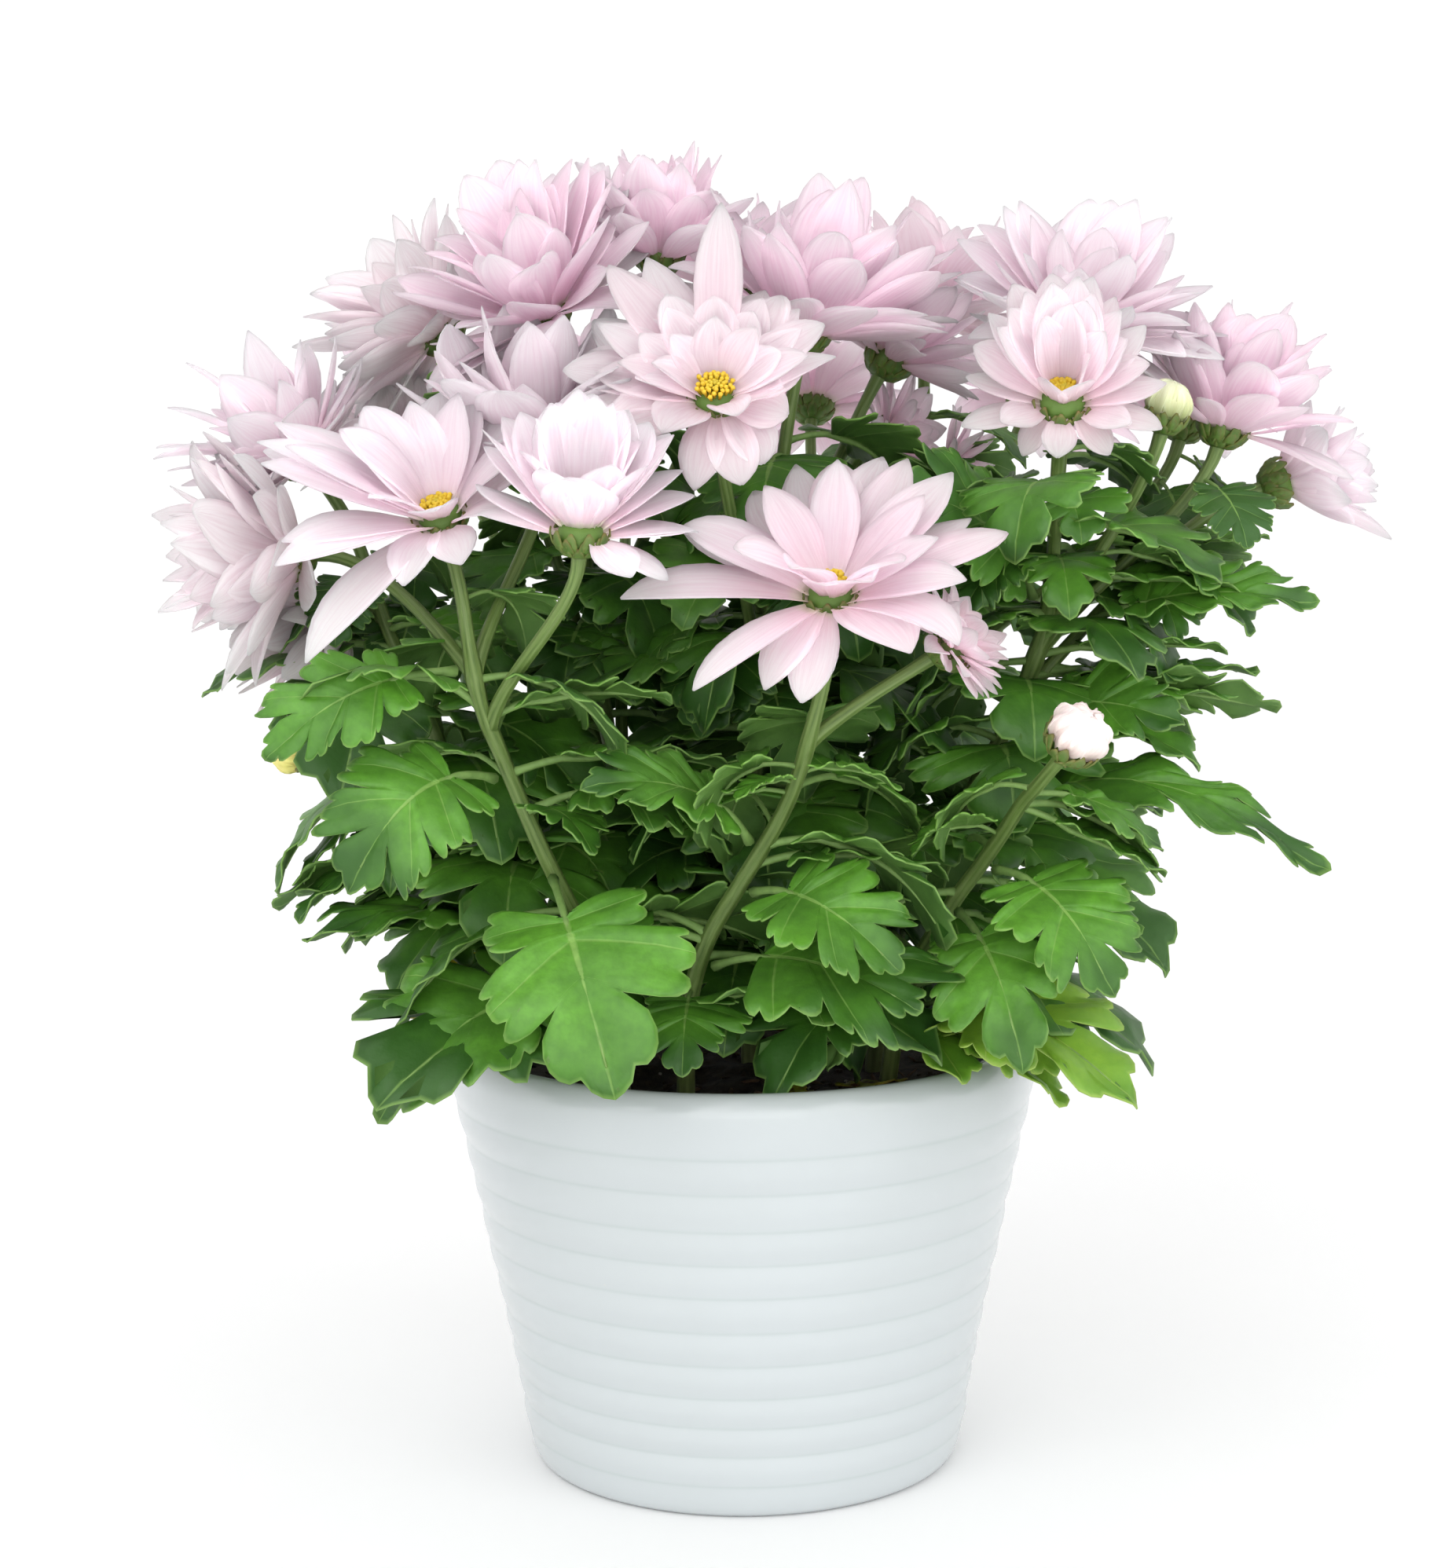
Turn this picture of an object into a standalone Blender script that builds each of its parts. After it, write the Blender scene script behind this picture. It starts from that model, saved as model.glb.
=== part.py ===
"""A potted chrysanthemum, modelled as the real thing comes apart.

A ribbed, glazed cachepot holds a thin plastic nursery pot full of soil. Flowering shoots rise from the
soil and fork into pedicels. Each pedicel ends in a flower head or a bud, and lobed leaves grow from the
shoots on petioles.

Blender units are metres, +Z is up, and the origin is the centre of the cachepot's flat base. The plant's
front is towards -Y. The tables below are in millimetres and degrees. A compass angle is measured in plan
from +X towards +Y, so -90 is the front.
"""

import math
from collections import namedtuple

import bmesh
import bpy
from mathutils import Matrix, Vector

MM = 0.001
GAP = 0.3  # clearance that touching pieces keep
DRILL_SIDES = 8

# Cachepot: radius and height of each groove, from the smooth top band down to the foot
GROOVES = [
    (73.2, 94.4), (70.9, 85.4), (69.1, 75.9), (67.0, 67.2), (65.6, 58.7), (63.5, 49.5),
    (61.6, 40.7), (59.9, 32.1), (58.6, 24.3), (57.1, 16.6), (56.2, 8.8),
]
RIB_CROWN = 0.9  # how far a rib stands out past the line between its grooves
POT_HEIGHT = 110.0
POT_RIM_RADIUS = 75.0
POT_LIP = [(0.6, 99.0), (0.0, 105.0), (1.6, 108.6), (4.2, POT_HEIGHT)]  # (in from the rim, height)
POT_FOOT_RADIUS = 52.0
POT_FOOT_EDGE = [(0.0, 0.0), (2.8, 1.4), (4.0, 4.4)]  # (out from the foot's flat, height)
POT_MOUTH_RADIUS = 66.9
POT_MOUTH_EASE = 1.4  # height of the lip's rounding above the mouth
POT_MOUTH_DEPTH = 10.0  # the inside is upright this far down, then tapers
POT_INNER_FOOT_RADIUS = 48.5
POT_FLOOR = 6.0
POT_SIDES = 32

# Nursery pot, which stands on the cachepot's floor
NURSERY_FLOOR = POT_FLOOR + GAP
NURSERY_RIM_HEIGHT = 107.5
NURSERY_RIM_RADIUS = 66.2
NURSERY_RIM_DEPTH = 7.0
NURSERY_RIM_STEP = 2.0  # how far the rolled rim stands out from the wall
NURSERY_FOOT_RADIUS = 44.0
NURSERY_WALL = 1.6
NURSERY_SIDES = 32
DRAIN_HOLES = 6
DRAIN_HOLE_RADIUS = 4.0
DRAIN_HOLE_CIRCLE = 30.0
DRAIN_HOLE_TURN = 24.0  # compass angle of the first hole

# Soil, with a pocket round the buried foot of each shoot
SOIL_EDGE = 97.0
SOIL_SHOULDER = (30.0, 100.2)  # (radius, height) where the crown flattens
SOIL_CROWN = 101.0
SOIL_CLEARANCE = 0.6  # from the nursery pot's faceted wall
SOIL_SIDES = 24
FOOT_DEPTH = 84.0
POCKET_CLEARANCE = 1.4

# Shoots and pedicels
SHOOT_RADIUS = 2.8
PEDICEL_RADIUS = 1.8
STEM_SIDES = 6
RING_SPACING = 13.0
LINE_STEPS = 24
FORK_ALONG = 0.5  # how much a branch starts along its shoot rather than straight to its bearer
FORK_PULL = 0.9  # slopes at a branch's ends, over its reach
BEARER_PULL = 0.7

# Flower heads
HEAD_RAYS = 9
RECEPTACLE_RADIUS = 6.0
RECEPTACLE_HEIGHT = 6.0
INVOLUCRE_RADIUS = 7.5
INVOLUCRE_HEIGHT = 3.6
RAY_THICKNESS = 1.6
RAY_NOTCH = 0.76  # length of the valley between two rays, over a ray's length
RAY_BEND = 10.0  # a ray leaves the receptacle this much steeper than its whole rise
DISC_RADIUS = 5.4
DISC_EDGE = 8.4
DISC_CROWN = 11.4

# Buds: share of the radius and share of the length, from the pedicel to the tip
BUD_PROFILE = [(0.85, 0.2), (1.0, 0.45), (0.8, 0.78), (0.35, 0.96)]
BUD_SIDES = 12

# Leaves: share of the length along the midrib, and share of the half width there
PETIOLE_END = 0.28
PETIOLE_RADIUS = 1.1
LEAF_OUTLINE = [
    (0.36, 0.55), (0.43, 0.82), (0.50, 0.50), (0.60, 1.00), (0.69, 0.60), (0.78, 0.80), (0.86, 0.42),
    (0.94, 0.40), (1.00, 0.10),
]
LEAF_THICKNESS = 1.2
LEAF_FOLD = 0.12  # how far a blade's edges stand above its midrib, over the half width
MIDRIB_STEP = 0.01  # share of the length over which a midrib's direction is taken

Head = namedtuple("Head", "base lean towards ray rise")
HEADS = {
    "flower_front_low": Head((20, -97, 224), 24, -95, 32, 16),
    "flower_front_small": Head((43, -82, 213), 56, -12, 12, 30),
    "flower_centre": Head((-5, -74, 268), 42, -92, 31, 36),
    "flower_right_front": Head((73, -72, 266), 38, -90, 22, 34),
    "flower_right_crown": Head((80, -32, 281), 20, -70, 31, 36),
    "flower_right_inner": Head((112, 14, 258), 20, 40, 26, 46),
    "flower_right_side": Head((114, -36, 258), 16, 0, 28, 58),
    "flower_right_outer": Head((128, -14, 247), 76, 8, 26, 58),
    "flower_crown_right": Head((15, -34, 281), 12, 10, 36, 52),
    "flower_crown_right_low": Head((35, -6, 275), 30, 10, 25, 44),
    "flower_crown_right_back": Head((49, 36, 284), 12, 60, 30, 42),
    "flower_inner_right": Head((34, 16, 257), 68, -16, 17, 24),
    "flower_inner_right_low": Head((50, 50, 250), 104, 0, 15, 30),
    "flower_crown_top": Head((-19, -14, 300), 8, -60, 28, 62),
    "flower_crown_back": Head((-1, 26, 292), 16, 70, 27, 40),
    "flower_crown_left": Head((-44, -29, 286), 26, -140, 30, 44),
    "flower_left_crown": Head((-70, 4, 283), 44, 169, 29, 30),
    "flower_left_inner": Head((-86, 22, 253), 24, 150, 22, 34),
    "flower_left_side": Head((-102, -21, 253), 40, 190, 26, 38),
    "flower_left_front": Head((-66, -78, 241), 28, -118, 25, 12),
    "flower_left_outer": Head((-100, -43, 235), 88, 196, 30, 52),
    "flower_left_low": Head((-94, -16, 220), 112, 186, 25, 54),
    "flower_front_left": Head((-35, -104, 238), 10, -70, 31, 48),
    "flower_front_left_inner": Head((-46, -52, 252), 8, -100, 28, 56),
    "flower_back_left": Head((-80, 62, 262), 34, 140, 30, 20),
    "flower_back_mid_left": Head((-32, 84, 266), 34, 108, 27, 22),
    "flower_back_mid": Head((21, 92, 262), 36, 82, 30, 16),
    "flower_back_right": Head((78, 74, 262), 34, 45, 32, 18),
}

Bud = namedtuple("Bud", "base lean towards radius length")
BUDS = {
    "bud_green": Bud((98, -55, 262), 14, -10, 4.6, 11),
    "bud_pink": Bud((71, -96, 192), 42, -50, 6.0, 12),
    "bud_yellow": Bud((-101, -42, 188), 84, 190, 4.6, 10),
}

# A shoot's route starts at its foot in the soil, and a bearer at its top ends it. Each branch leaves the
# shoot's line at a height and carries one bearer.
Shoot = namedtuple("Shoot", "foot route top branches")
SHOOTS = {
    "stem_left_front": Shoot(
        (-30, -30),
        [(-33, -40, 130), (-46, -62, 165), (-54, -70, 187), (-60, -78, 206), (-62, -82, 224)],
        "flower_left_front",
        [(200, "flower_front_left"), (208, "flower_left_outer"), (214, "flower_front_left_inner")],
    ),
    "stem_left": Shoot(
        (-40, -4),
        [(-44, -10, 130), (-57, -19, 157), (-70, -26, 177), (-76, -28, 195), (-84, -24, 211)],
        "flower_left_side",
        [(178, "bud_yellow"), (190, "flower_left_inner"), (200, "flower_left_low")],
    ),
    "stem_centre_front": Shoot(
        (-14, -34),
        [(-13, -44, 125), (-8, -54, 144), (0, -62, 159), (10, -74, 178), (16, -86, 198)],
        "flower_front_low",
        [(192, "flower_front_small")],
    ),
    "stem_right": Shoot(
        (34, 4),
        [(38, 0, 130), (50, -10, 158), (61, -20, 181), (69, -28, 200), (74, -38, 222)],
        "flower_right_front",
        [
            (196, "flower_right_outer"), (206, "flower_right_side"), (212, "bud_green"),
            (220, "flower_right_crown"),
        ],
    ),
    "stem_right_low": Shoot(
        (36, -24),
        [(40, -36, 128), (50, -50, 151), (58, -61, 165), (65, -76, 180)],
        "bud_pink",
        [],
    ),
    "stem_centre": Shoot(
        (2, 0),
        [(2, -6, 140), (4, -18, 185), (8, -28, 225), (10, -32, 250)],
        "flower_crown_right",
        [(190, "flower_centre"), (205, "flower_crown_right_low"), (214, "flower_crown_top")],
    ),
    "stem_back_left": Shoot(
        (-20, 30),
        [(-24, 26, 140), (-34, 18, 185), (-38, 6, 225), (-39, -8, 255)],
        "flower_crown_left",
        [
            (160, "flower_back_mid_left"), (168, "flower_back_left"), (186, "flower_left_crown"),
            (204, "flower_crown_back"),
        ],
    ),
    "stem_back_right": Shoot(
        (24, 32),
        [(28, 36, 140), (38, 42, 185), (47, 46, 225), (50, 43, 250)],
        "flower_crown_right_back",
        [
            (158, "flower_back_mid"), (166, "flower_back_right"), (184, "flower_right_inner"),
            (192, "flower_inner_right_low"), (200, "flower_inner_right"),
        ],
    ),
}

# A leaf grows from the shoot nearest its start. Its midrib arches towards the side that it faces.
Leaf = namedtuple("Leaf", "start tip arch width facing")
LEAVES = {
    "leaf_front": Leaf((-43, -58, 164), (-29, -104, 117), 10, 50, (0, -0.9, 0.45)),
    "leaf_front_broad": Leaf((-10, -50, 140), (40, -94, 134), 8, 42, (0, -0.6, 0.8)),
    "leaf_front_right": Leaf((1, -62, 159), (37, -95, 142), 10, 34, (0, -0.75, 0.65)),
    "leaf_left_arched": Leaf((-54, -70, 187), (-88, -98, 163), 14, 36, (-0.2, -0.8, 0.6)),
    "leaf_left_upper": Leaf((-61, -79, 212), (-106, -92, 192), 8, 26, (-0.1, -0.7, 0.7)),
    "leaf_left_low": Leaf((-44, -10, 130), (-104, -52, 143), 20, 30, (-0.5, -0.5, 0.7)),
    "leaf_left_hanging": Leaf((-34, -36, 124), (-85, -72, 104), 20, 46, (-0.4, -0.7, 0.6)),
    "leaf_right_low": Leaf((51, -51, 152), (64, -102, 117), 10, 30, (0.1, -0.9, 0.5)),
    "leaf_right_yellow": Leaf((38, -28, 124), (90, -84, 109), 16, 34, (0.3, -0.7, 0.6)),
    "leaf_right_hanging": Leaf((56, -59, 166), (83, -94, 137), 10, 38, (0.3, -0.85, 0.45)),
    "leaf_right_lobed": Leaf((66, -26, 195), (104, -56, 194), 8, 34, (0.1, -0.8, 0.6)),
    "leaf_right_long": Leaf((50, -14, 160), (136, -66, 160), 26, 26, (0.3, -0.6, 0.8)),
    "leaf_right_upper": Leaf((80, -32, 217), (136, -50, 221), 6, 22, (0.1, -0.4, 0.9)),
    "leaf_right_crown": Leaf((73, -38, 224), (36, -66, 250), 8, 34, (0.2, -0.6, 0.8)),
    "leaf_centre": Leaf((5, -68, 169), (-36, -96, 186), 10, 24, (0, -0.6, 0.8)),
    "leaf_back_left": Leaf((-24, 24, 142), (-62, 92, 150), 12, 40, (-0.3, 0.3, 0.9)),
    "leaf_back_right": Leaf((28, 36, 142), (64, 96, 148), 12, 40, (0.3, 0.3, 0.9)),
    "leaf_back_low": Leaf((2, 2, 124), (4, 98, 118), 18, 40, (0, 0.4, 0.9)),
}


def clear_scene():
    for old in list(bpy.data.objects):
        bpy.data.objects.remove(old, do_unlink=True)


def material(name, colour, roughness):
    made = bpy.data.materials.new(name)
    made.use_nodes = True
    shader = made.node_tree.nodes["Principled BSDF"]
    shader.inputs["Base Color"].default_value = (*colour, 1.0)
    shader.inputs["Roughness"].default_value = roughness
    shader.inputs["Metallic"].default_value = 0.0
    return made


def add_object(name, shape, finish):
    """Turns a bmesh in millimetres into an object in metres, with its faces pointing out."""
    bmesh.ops.recalc_face_normals(shape, faces=shape.faces)
    mesh = bpy.data.meshes.new(name)
    shape.to_mesh(mesh)
    shape.free()
    mesh.transform(Matrix.Scale(MM, 4))
    mesh.shade_smooth()
    mesh.set_sharp_from_angle(angle=math.radians(40))
    mesh.materials.append(finish)
    made = bpy.data.objects.new(name, mesh)
    bpy.context.collection.objects.link(made)
    return made


def loft(shape, rings):
    """Skins rings of points one after another into shape. A ring of one point closes an end."""
    made = [[shape.verts.new(point) for point in ring] for ring in rings]
    for low, high in zip(made, made[1:]):
        sides = max(len(low), len(high))
        for i in range(sides):
            j = (i + 1) % sides
            if len(low) == 1:
                shape.faces.new((low[0], high[i], high[j]))
            elif len(high) == 1:
                shape.faces.new((low[i], low[j], high[0]))
            else:
                shape.faces.new((low[i], low[j], high[j], high[i]))
    for end in (made[0], made[-1]):
        if len(end) > 1:
            shape.faces.new(end)


def lathe(name, profile, sides, finish):
    """A body turned round Z. The profile starts and ends on the axis."""
    shape = bmesh.new()
    rings = []
    for radius, height in profile:
        if radius == 0:
            rings.append([(0, 0, height)])
            continue
        angles = [2 * math.pi * i / sides for i in range(sides)]
        rings.append([(radius * math.cos(a), radius * math.sin(a), height) for a in angles])
    loft(shape, rings)
    return add_object(name, shape, finish)


def boolean(target, other, operation):
    """Applies a Boolean to target, then removes the other object."""
    cut = target.modifiers.new("boolean", "BOOLEAN")
    cut.operation = operation
    cut.solver = "EXACT"
    cut.object = other
    graph = bpy.context.evaluated_depsgraph_get()
    result = bpy.data.meshes.new_from_object(target.evaluated_get(graph))
    target.modifiers.clear()
    target.data = result
    bpy.data.objects.remove(other, do_unlink=True)


def make_cachepot(finish):
    """The ribbed outer pot: flat foot, ribs, smooth band, rounded lip, plain inside."""
    outside = [(POT_FOOT_RADIUS + out, height) for out, height in POT_FOOT_EDGE]
    grooves = GROOVES[::-1]
    for (radius, height), (next_radius, next_height) in zip(grooves, grooves[1:]):
        outside.append((radius, height))
        outside.append(((radius + next_radius) / 2 + RIB_CROWN, (height + next_height) / 2))
    outside.append(grooves[-1])
    lip = [(POT_RIM_RADIUS - inwards, height) for inwards, height in POT_LIP]
    inside = [
        (POT_MOUTH_RADIUS, POT_HEIGHT - POT_MOUTH_EASE),
        (POT_MOUTH_RADIUS, POT_HEIGHT - POT_MOUTH_DEPTH),
        (POT_INNER_FOOT_RADIUS, POT_FLOOR),
    ]
    profile = [(0, 0), *outside, *lip, *inside, (0, POT_FLOOR)]
    lathe("cachepot", profile, POT_SIDES, finish)


def nursery_radius(height):
    """Outer radius of the nursery pot's tapered wall."""
    share = (height - NURSERY_FLOOR) / (NURSERY_RIM_HEIGHT - NURSERY_FLOOR)
    top_radius = NURSERY_RIM_RADIUS - NURSERY_RIM_STEP
    return NURSERY_FOOT_RADIUS + share * (top_radius - NURSERY_FOOT_RADIUS)


def make_nursery_pot(finish):
    """Thin tapered pot with a rolled rim and drainage holes in its base."""
    rim_low = NURSERY_RIM_HEIGHT - NURSERY_RIM_DEPTH
    top = NURSERY_RIM_HEIGHT
    inner_top = NURSERY_RIM_RADIUS - NURSERY_WALL
    profile = [
        (0, NURSERY_FLOOR),
        (NURSERY_FOOT_RADIUS, NURSERY_FLOOR),
        (nursery_radius(rim_low), rim_low),
        (NURSERY_RIM_RADIUS, rim_low),
        (NURSERY_RIM_RADIUS, top),
        (inner_top, top),
        (nursery_radius(rim_low) - NURSERY_WALL, rim_low - NURSERY_RIM_STEP),
        (NURSERY_FOOT_RADIUS - NURSERY_WALL, NURSERY_FLOOR + NURSERY_WALL),
        (0, NURSERY_FLOOR + NURSERY_WALL),
    ]
    pot = lathe("nursery_pot", profile, NURSERY_SIDES, finish)
    for i in range(DRAIN_HOLES):
        angle = math.radians(DRAIN_HOLE_TURN + 360 * i / DRAIN_HOLES)
        drill = upright_cylinder(
            DRAIN_HOLE_CIRCLE * math.cos(angle),
            DRAIN_HOLE_CIRCLE * math.sin(angle),
            NURSERY_FLOOR - NURSERY_WALL,
            NURSERY_FLOOR + 2 * NURSERY_WALL,
            DRAIN_HOLE_RADIUS,
            finish,
        )
        boolean(pot, drill, "DIFFERENCE")


def upright_cylinder(x, y, low, high, radius, finish):
    """A cutter, which a Boolean removes again."""
    profile = [(0, low), (radius, low), (radius, high), (0, high)]
    made = lathe("cutter", profile, DRILL_SIDES, finish)
    made.data.transform(Matrix.Translation((x * MM, y * MM, 0)))
    return made


def make_soil(finish):
    """The root ball and potting soil, one mass that fills the nursery pot."""
    low = NURSERY_FLOOR + NURSERY_WALL + GAP
    wall = NURSERY_WALL + SOIL_CLEARANCE
    profile = [
        (0, low),
        (nursery_radius(low) - wall, low),
        (nursery_radius(SOIL_EDGE) - wall, SOIL_EDGE),
        SOIL_SHOULDER,
        (0, SOIL_CROWN),
    ]
    soil = lathe("potting_soil", profile, SOIL_SIDES, finish)
    for shoot in SHOOTS.values():
        x, y = shoot.foot
        radius = SHOOT_RADIUS + POCKET_CLEARANCE
        pocket = upright_cylinder(x, y, FOOT_DEPTH - GAP, SOIL_CROWN + radius, radius, finish)
        boolean(soil, pocket, "DIFFERENCE")


def axis_of(bearer):
    """Unit vector that a flower head or a bud points along."""
    lean = math.radians(bearer.lean)
    compass = math.radians(bearer.towards)
    flat = math.sin(lean)
    return Vector((flat * math.cos(compass), flat * math.sin(compass), math.cos(lean)))


def stand_on(bearer, rings):
    """Moves rings made round +Z to the bearer's base and axis."""
    turn = Vector((0, 0, 1)).rotation_difference(axis_of(bearer)).to_matrix()
    base = Vector(bearer.base)
    return [[base + turn @ Vector(point) for point in ring] for ring in rings]


def circle(radius, height, sides):
    angles = [2 * math.pi * i / sides for i in range(sides)]
    return [(radius * math.cos(a), radius * math.sin(a), height) for a in angles]


def star(tip, valley, sides):
    """A ring whose even points are at tip and odd points at valley, each a (radius, height)."""
    points = []
    for i in range(sides):
        radius, height = valley if i % 2 else tip
        angle = 2 * math.pi * i / sides
        points.append((radius * math.cos(angle), radius * math.sin(angle), height))
    return points


def make_head(name, head, finish):
    """One flower head: involucre, a bowl of ray florets with a pointed edge, and the disc inside it."""
    sides = 2 * HEAD_RAYS

    def along_ray(share, steeper, inwards=0.0):
        rise = math.radians(head.rise + steeper)
        reach = share * head.ray
        return (
            RECEPTACLE_RADIUS + reach * math.cos(rise) - inwards * math.sin(rise),
            RECEPTACLE_HEIGHT + reach * math.sin(rise) + inwards * math.cos(rise),
        )

    middle = along_ray(0.5, RAY_BEND)
    middle_inner = along_ray(0.5, RAY_BEND, RAY_THICKNESS)
    rings = [
        circle(PEDICEL_RADIUS, 0, sides),
        circle(INVOLUCRE_RADIUS, INVOLUCRE_HEIGHT, sides),
        circle(middle[0], middle[1], sides),
        star(along_ray(1.0, 0), along_ray(RAY_NOTCH, RAY_BEND / 2), sides),
        circle(middle_inner[0], middle_inner[1], sides),
        circle(DISC_RADIUS, DISC_EDGE, sides),
        [(0, 0, DISC_CROWN)],
    ]
    shape = bmesh.new()
    loft(shape, stand_on(head, rings))
    add_object(name, shape, finish)


def make_bud(name, bud, finish):
    """A closed bud: a cup of green bracts with the folded rays rising to a blunt point."""
    rings = [circle(PEDICEL_RADIUS, 0, BUD_SIDES)]
    for wide, high in BUD_PROFILE:
        rings.append(circle(wide * bud.radius, high * bud.length, BUD_SIDES))
    rings.append([(0, 0, bud.length)])
    shape = bmesh.new()
    loft(shape, stand_on(bud, rings))
    add_object(name, shape, finish)


def smooth_line(points, end_direction):
    """A curve through points as closely spaced samples. It leaves the first point along the first leg, and
    arrives at the last along end_direction."""
    slopes = [points[1] - points[0]]
    for before, after in zip(points, points[2:]):
        slopes.append((after - before) / 2)
    slopes.append(end_direction.normalized() * (points[-1] - points[-2]).length)
    line = []
    for i in range(len(points) - 1):
        for step in range(LINE_STEPS):
            t = step / LINE_STEPS
            line.append(hermite(points[i], points[i + 1], slopes[i], slopes[i + 1], t))
    line.append(points[-1].copy())
    return line


def hermite(start, end, start_slope, end_slope, t):
    return (
        start * (2 * t**3 - 3 * t**2 + 1)
        + start_slope * (t**3 - 2 * t**2 + t)
        + end * (3 * t**2 - 2 * t**3)
        + end_slope * (t**3 - t**2)
    )


def even_points(line, spacing):
    """Points at equal steps of about spacing along a line, both ends included."""
    lengths = [0.0]
    for a, b in zip(line, line[1:]):
        lengths.append(lengths[-1] + (b - a).length)
    count = max(2, round(lengths[-1] / spacing))
    points = []
    at = 0
    for i in range(count + 1):
        wanted = lengths[-1] * i / count
        while at < len(line) - 2 and lengths[at + 1] < wanted:
            at += 1
        share = (wanted - lengths[at]) / max(lengths[at + 1] - lengths[at], 1e-9)
        points.append(line[at].lerp(line[at + 1], min(share, 1.0)))
    return points


def tube_rings(points, end_direction, start_radius, end_radius):
    """Six-sided rings square to the line through points, which taper evenly. The last is square to
    end_direction."""
    rings = []
    side = None
    for i, point in enumerate(points):
        if i == len(points) - 1:
            along = end_direction.normalized()
        else:
            along = (points[i + 1] - points[max(i - 1, 0)]).normalized()
        if side is None:
            side = along.orthogonal().normalized()
        side = (side - along * side.dot(along)).normalized()
        other = along.cross(side)
        radius = start_radius + (end_radius - start_radius) * i / (len(points) - 1)
        angles = [2 * math.pi * k / STEM_SIDES for k in range(STEM_SIDES)]
        rings.append([point + (side * math.cos(a) + other * math.sin(a)) * radius for a in angles])
    return rings


def bearers():
    return {**HEADS, **BUDS}


def shoot_line(shoot):
    """Evenly spaced points up the shoot, from its buried foot to its top bearer."""
    x, y = shoot.foot
    top = bearers()[shoot.top]
    end = Vector(top.base) - axis_of(top) * GAP
    points = [Vector((x, y, FOOT_DEPTH)), Vector((x, y, SOIL_CROWN))]
    points += [Vector(point) for point in shoot.route]
    points.append(end)
    return even_points(smooth_line(points, axis_of(top)), RING_SPACING)


def branch_line(main, height, name):
    """Evenly spaced points from the middle of a shoot's leg at this height to the bearer's base."""
    bearer = bearers()[name]
    leg = max(i for i in range(len(main) - 1) if main[i].z < height)
    start = (main[leg] + main[leg + 1]) / 2
    along = (main[leg + 1] - main[leg]).normalized()
    end = Vector(bearer.base) - axis_of(bearer) * GAP
    reach = (end - start).length
    outwards = (along * FORK_ALONG + (end - start).normalized()).normalized()
    slopes = (outwards * reach * FORK_PULL, axis_of(bearer) * reach * BEARER_PULL)
    line = [hermite(start, end, *slopes, step / LINE_STEPS) for step in range(LINE_STEPS + 1)]
    return even_points(line, RING_SPACING)


def make_stems(finish):
    """Builds each shoot with its branches as one body, and returns every centreline with its radius."""
    lines = []
    for name, shoot in SHOOTS.items():
        main = shoot_line(shoot)
        lines.append((main, SHOOT_RADIUS))
        shape = bmesh.new()
        loft(shape, tube_rings(main, axis_of(bearers()[shoot.top]), SHOOT_RADIUS, PEDICEL_RADIUS))
        stem = add_object(name, shape, finish)
        for height, bearer in shoot.branches:
            branch = branch_line(main, height, bearer)
            lines.append((branch, PEDICEL_RADIUS))
            shape = bmesh.new()
            axis = axis_of(bearers()[bearer])
            loft(shape, tube_rings(branch, axis, PEDICEL_RADIUS, PEDICEL_RADIUS))
            boolean(stem, add_object("branch", shape, finish), "UNION")
    return lines


def nearest_on_stems(point, lines):
    """(place, direction, radius) of the stem that is nearest to a point."""
    best = None
    for line, radius in lines:
        for a, b in zip(line, line[1:]):
            share = (point - a).dot(b - a) / (b - a).length_squared
            place = a.lerp(b, min(max(share, 0.0), 1.0))
            distance = (place - point).length
            if best is None or distance < best[0]:
                best = (distance, place, (b - a).normalized(), radius)
    return best[1:]


def midrib_point(start, control, tip, share):
    return start * (1 - share) ** 2 + control * 2 * share * (1 - share) + tip * share**2


def make_leaf(name, leaf, lines, finish):
    """A petiole that widens into a thin lobed blade, as one strip along the midrib."""
    place, direction, radius = nearest_on_stems(Vector(leaf.start), lines)
    tip = Vector(leaf.tip)
    outwards = tip - place
    outwards = (outwards - direction * outwards.dot(direction)).normalized()
    start = place + outwards * (radius + GAP + PETIOLE_RADIUS)
    facing = Vector(leaf.facing).normalized()
    control = (start + tip) / 2 + facing * leaf.arch * 2
    sections = [(0.0, None), (PETIOLE_END / 2, None), (PETIOLE_END, None), *LEAF_OUTLINE]
    rings = []
    for share, wide in sections:
        middle = midrib_point(start, control, tip, share)
        before = midrib_point(start, control, tip, share - MIDRIB_STEP)
        along = midrib_point(start, control, tip, share + MIDRIB_STEP) - before
        across = along.cross(facing).normalized()
        normal = across.cross(along).normalized()
        if wide is None:
            half, thick, fold = PETIOLE_RADIUS, PETIOLE_RADIUS, 0.0
        else:
            half, thick, fold = wide * leaf.width / 2, LEAF_THICKNESS / 2, LEAF_FOLD
        edge = normal * half * fold
        rings.append([
            middle - across * half + edge,
            middle - normal * thick,
            middle + across * half + edge,
            middle + normal * thick,
        ])
    shape = bmesh.new()
    loft(shape, rings)
    add_object(name, shape, finish)


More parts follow.
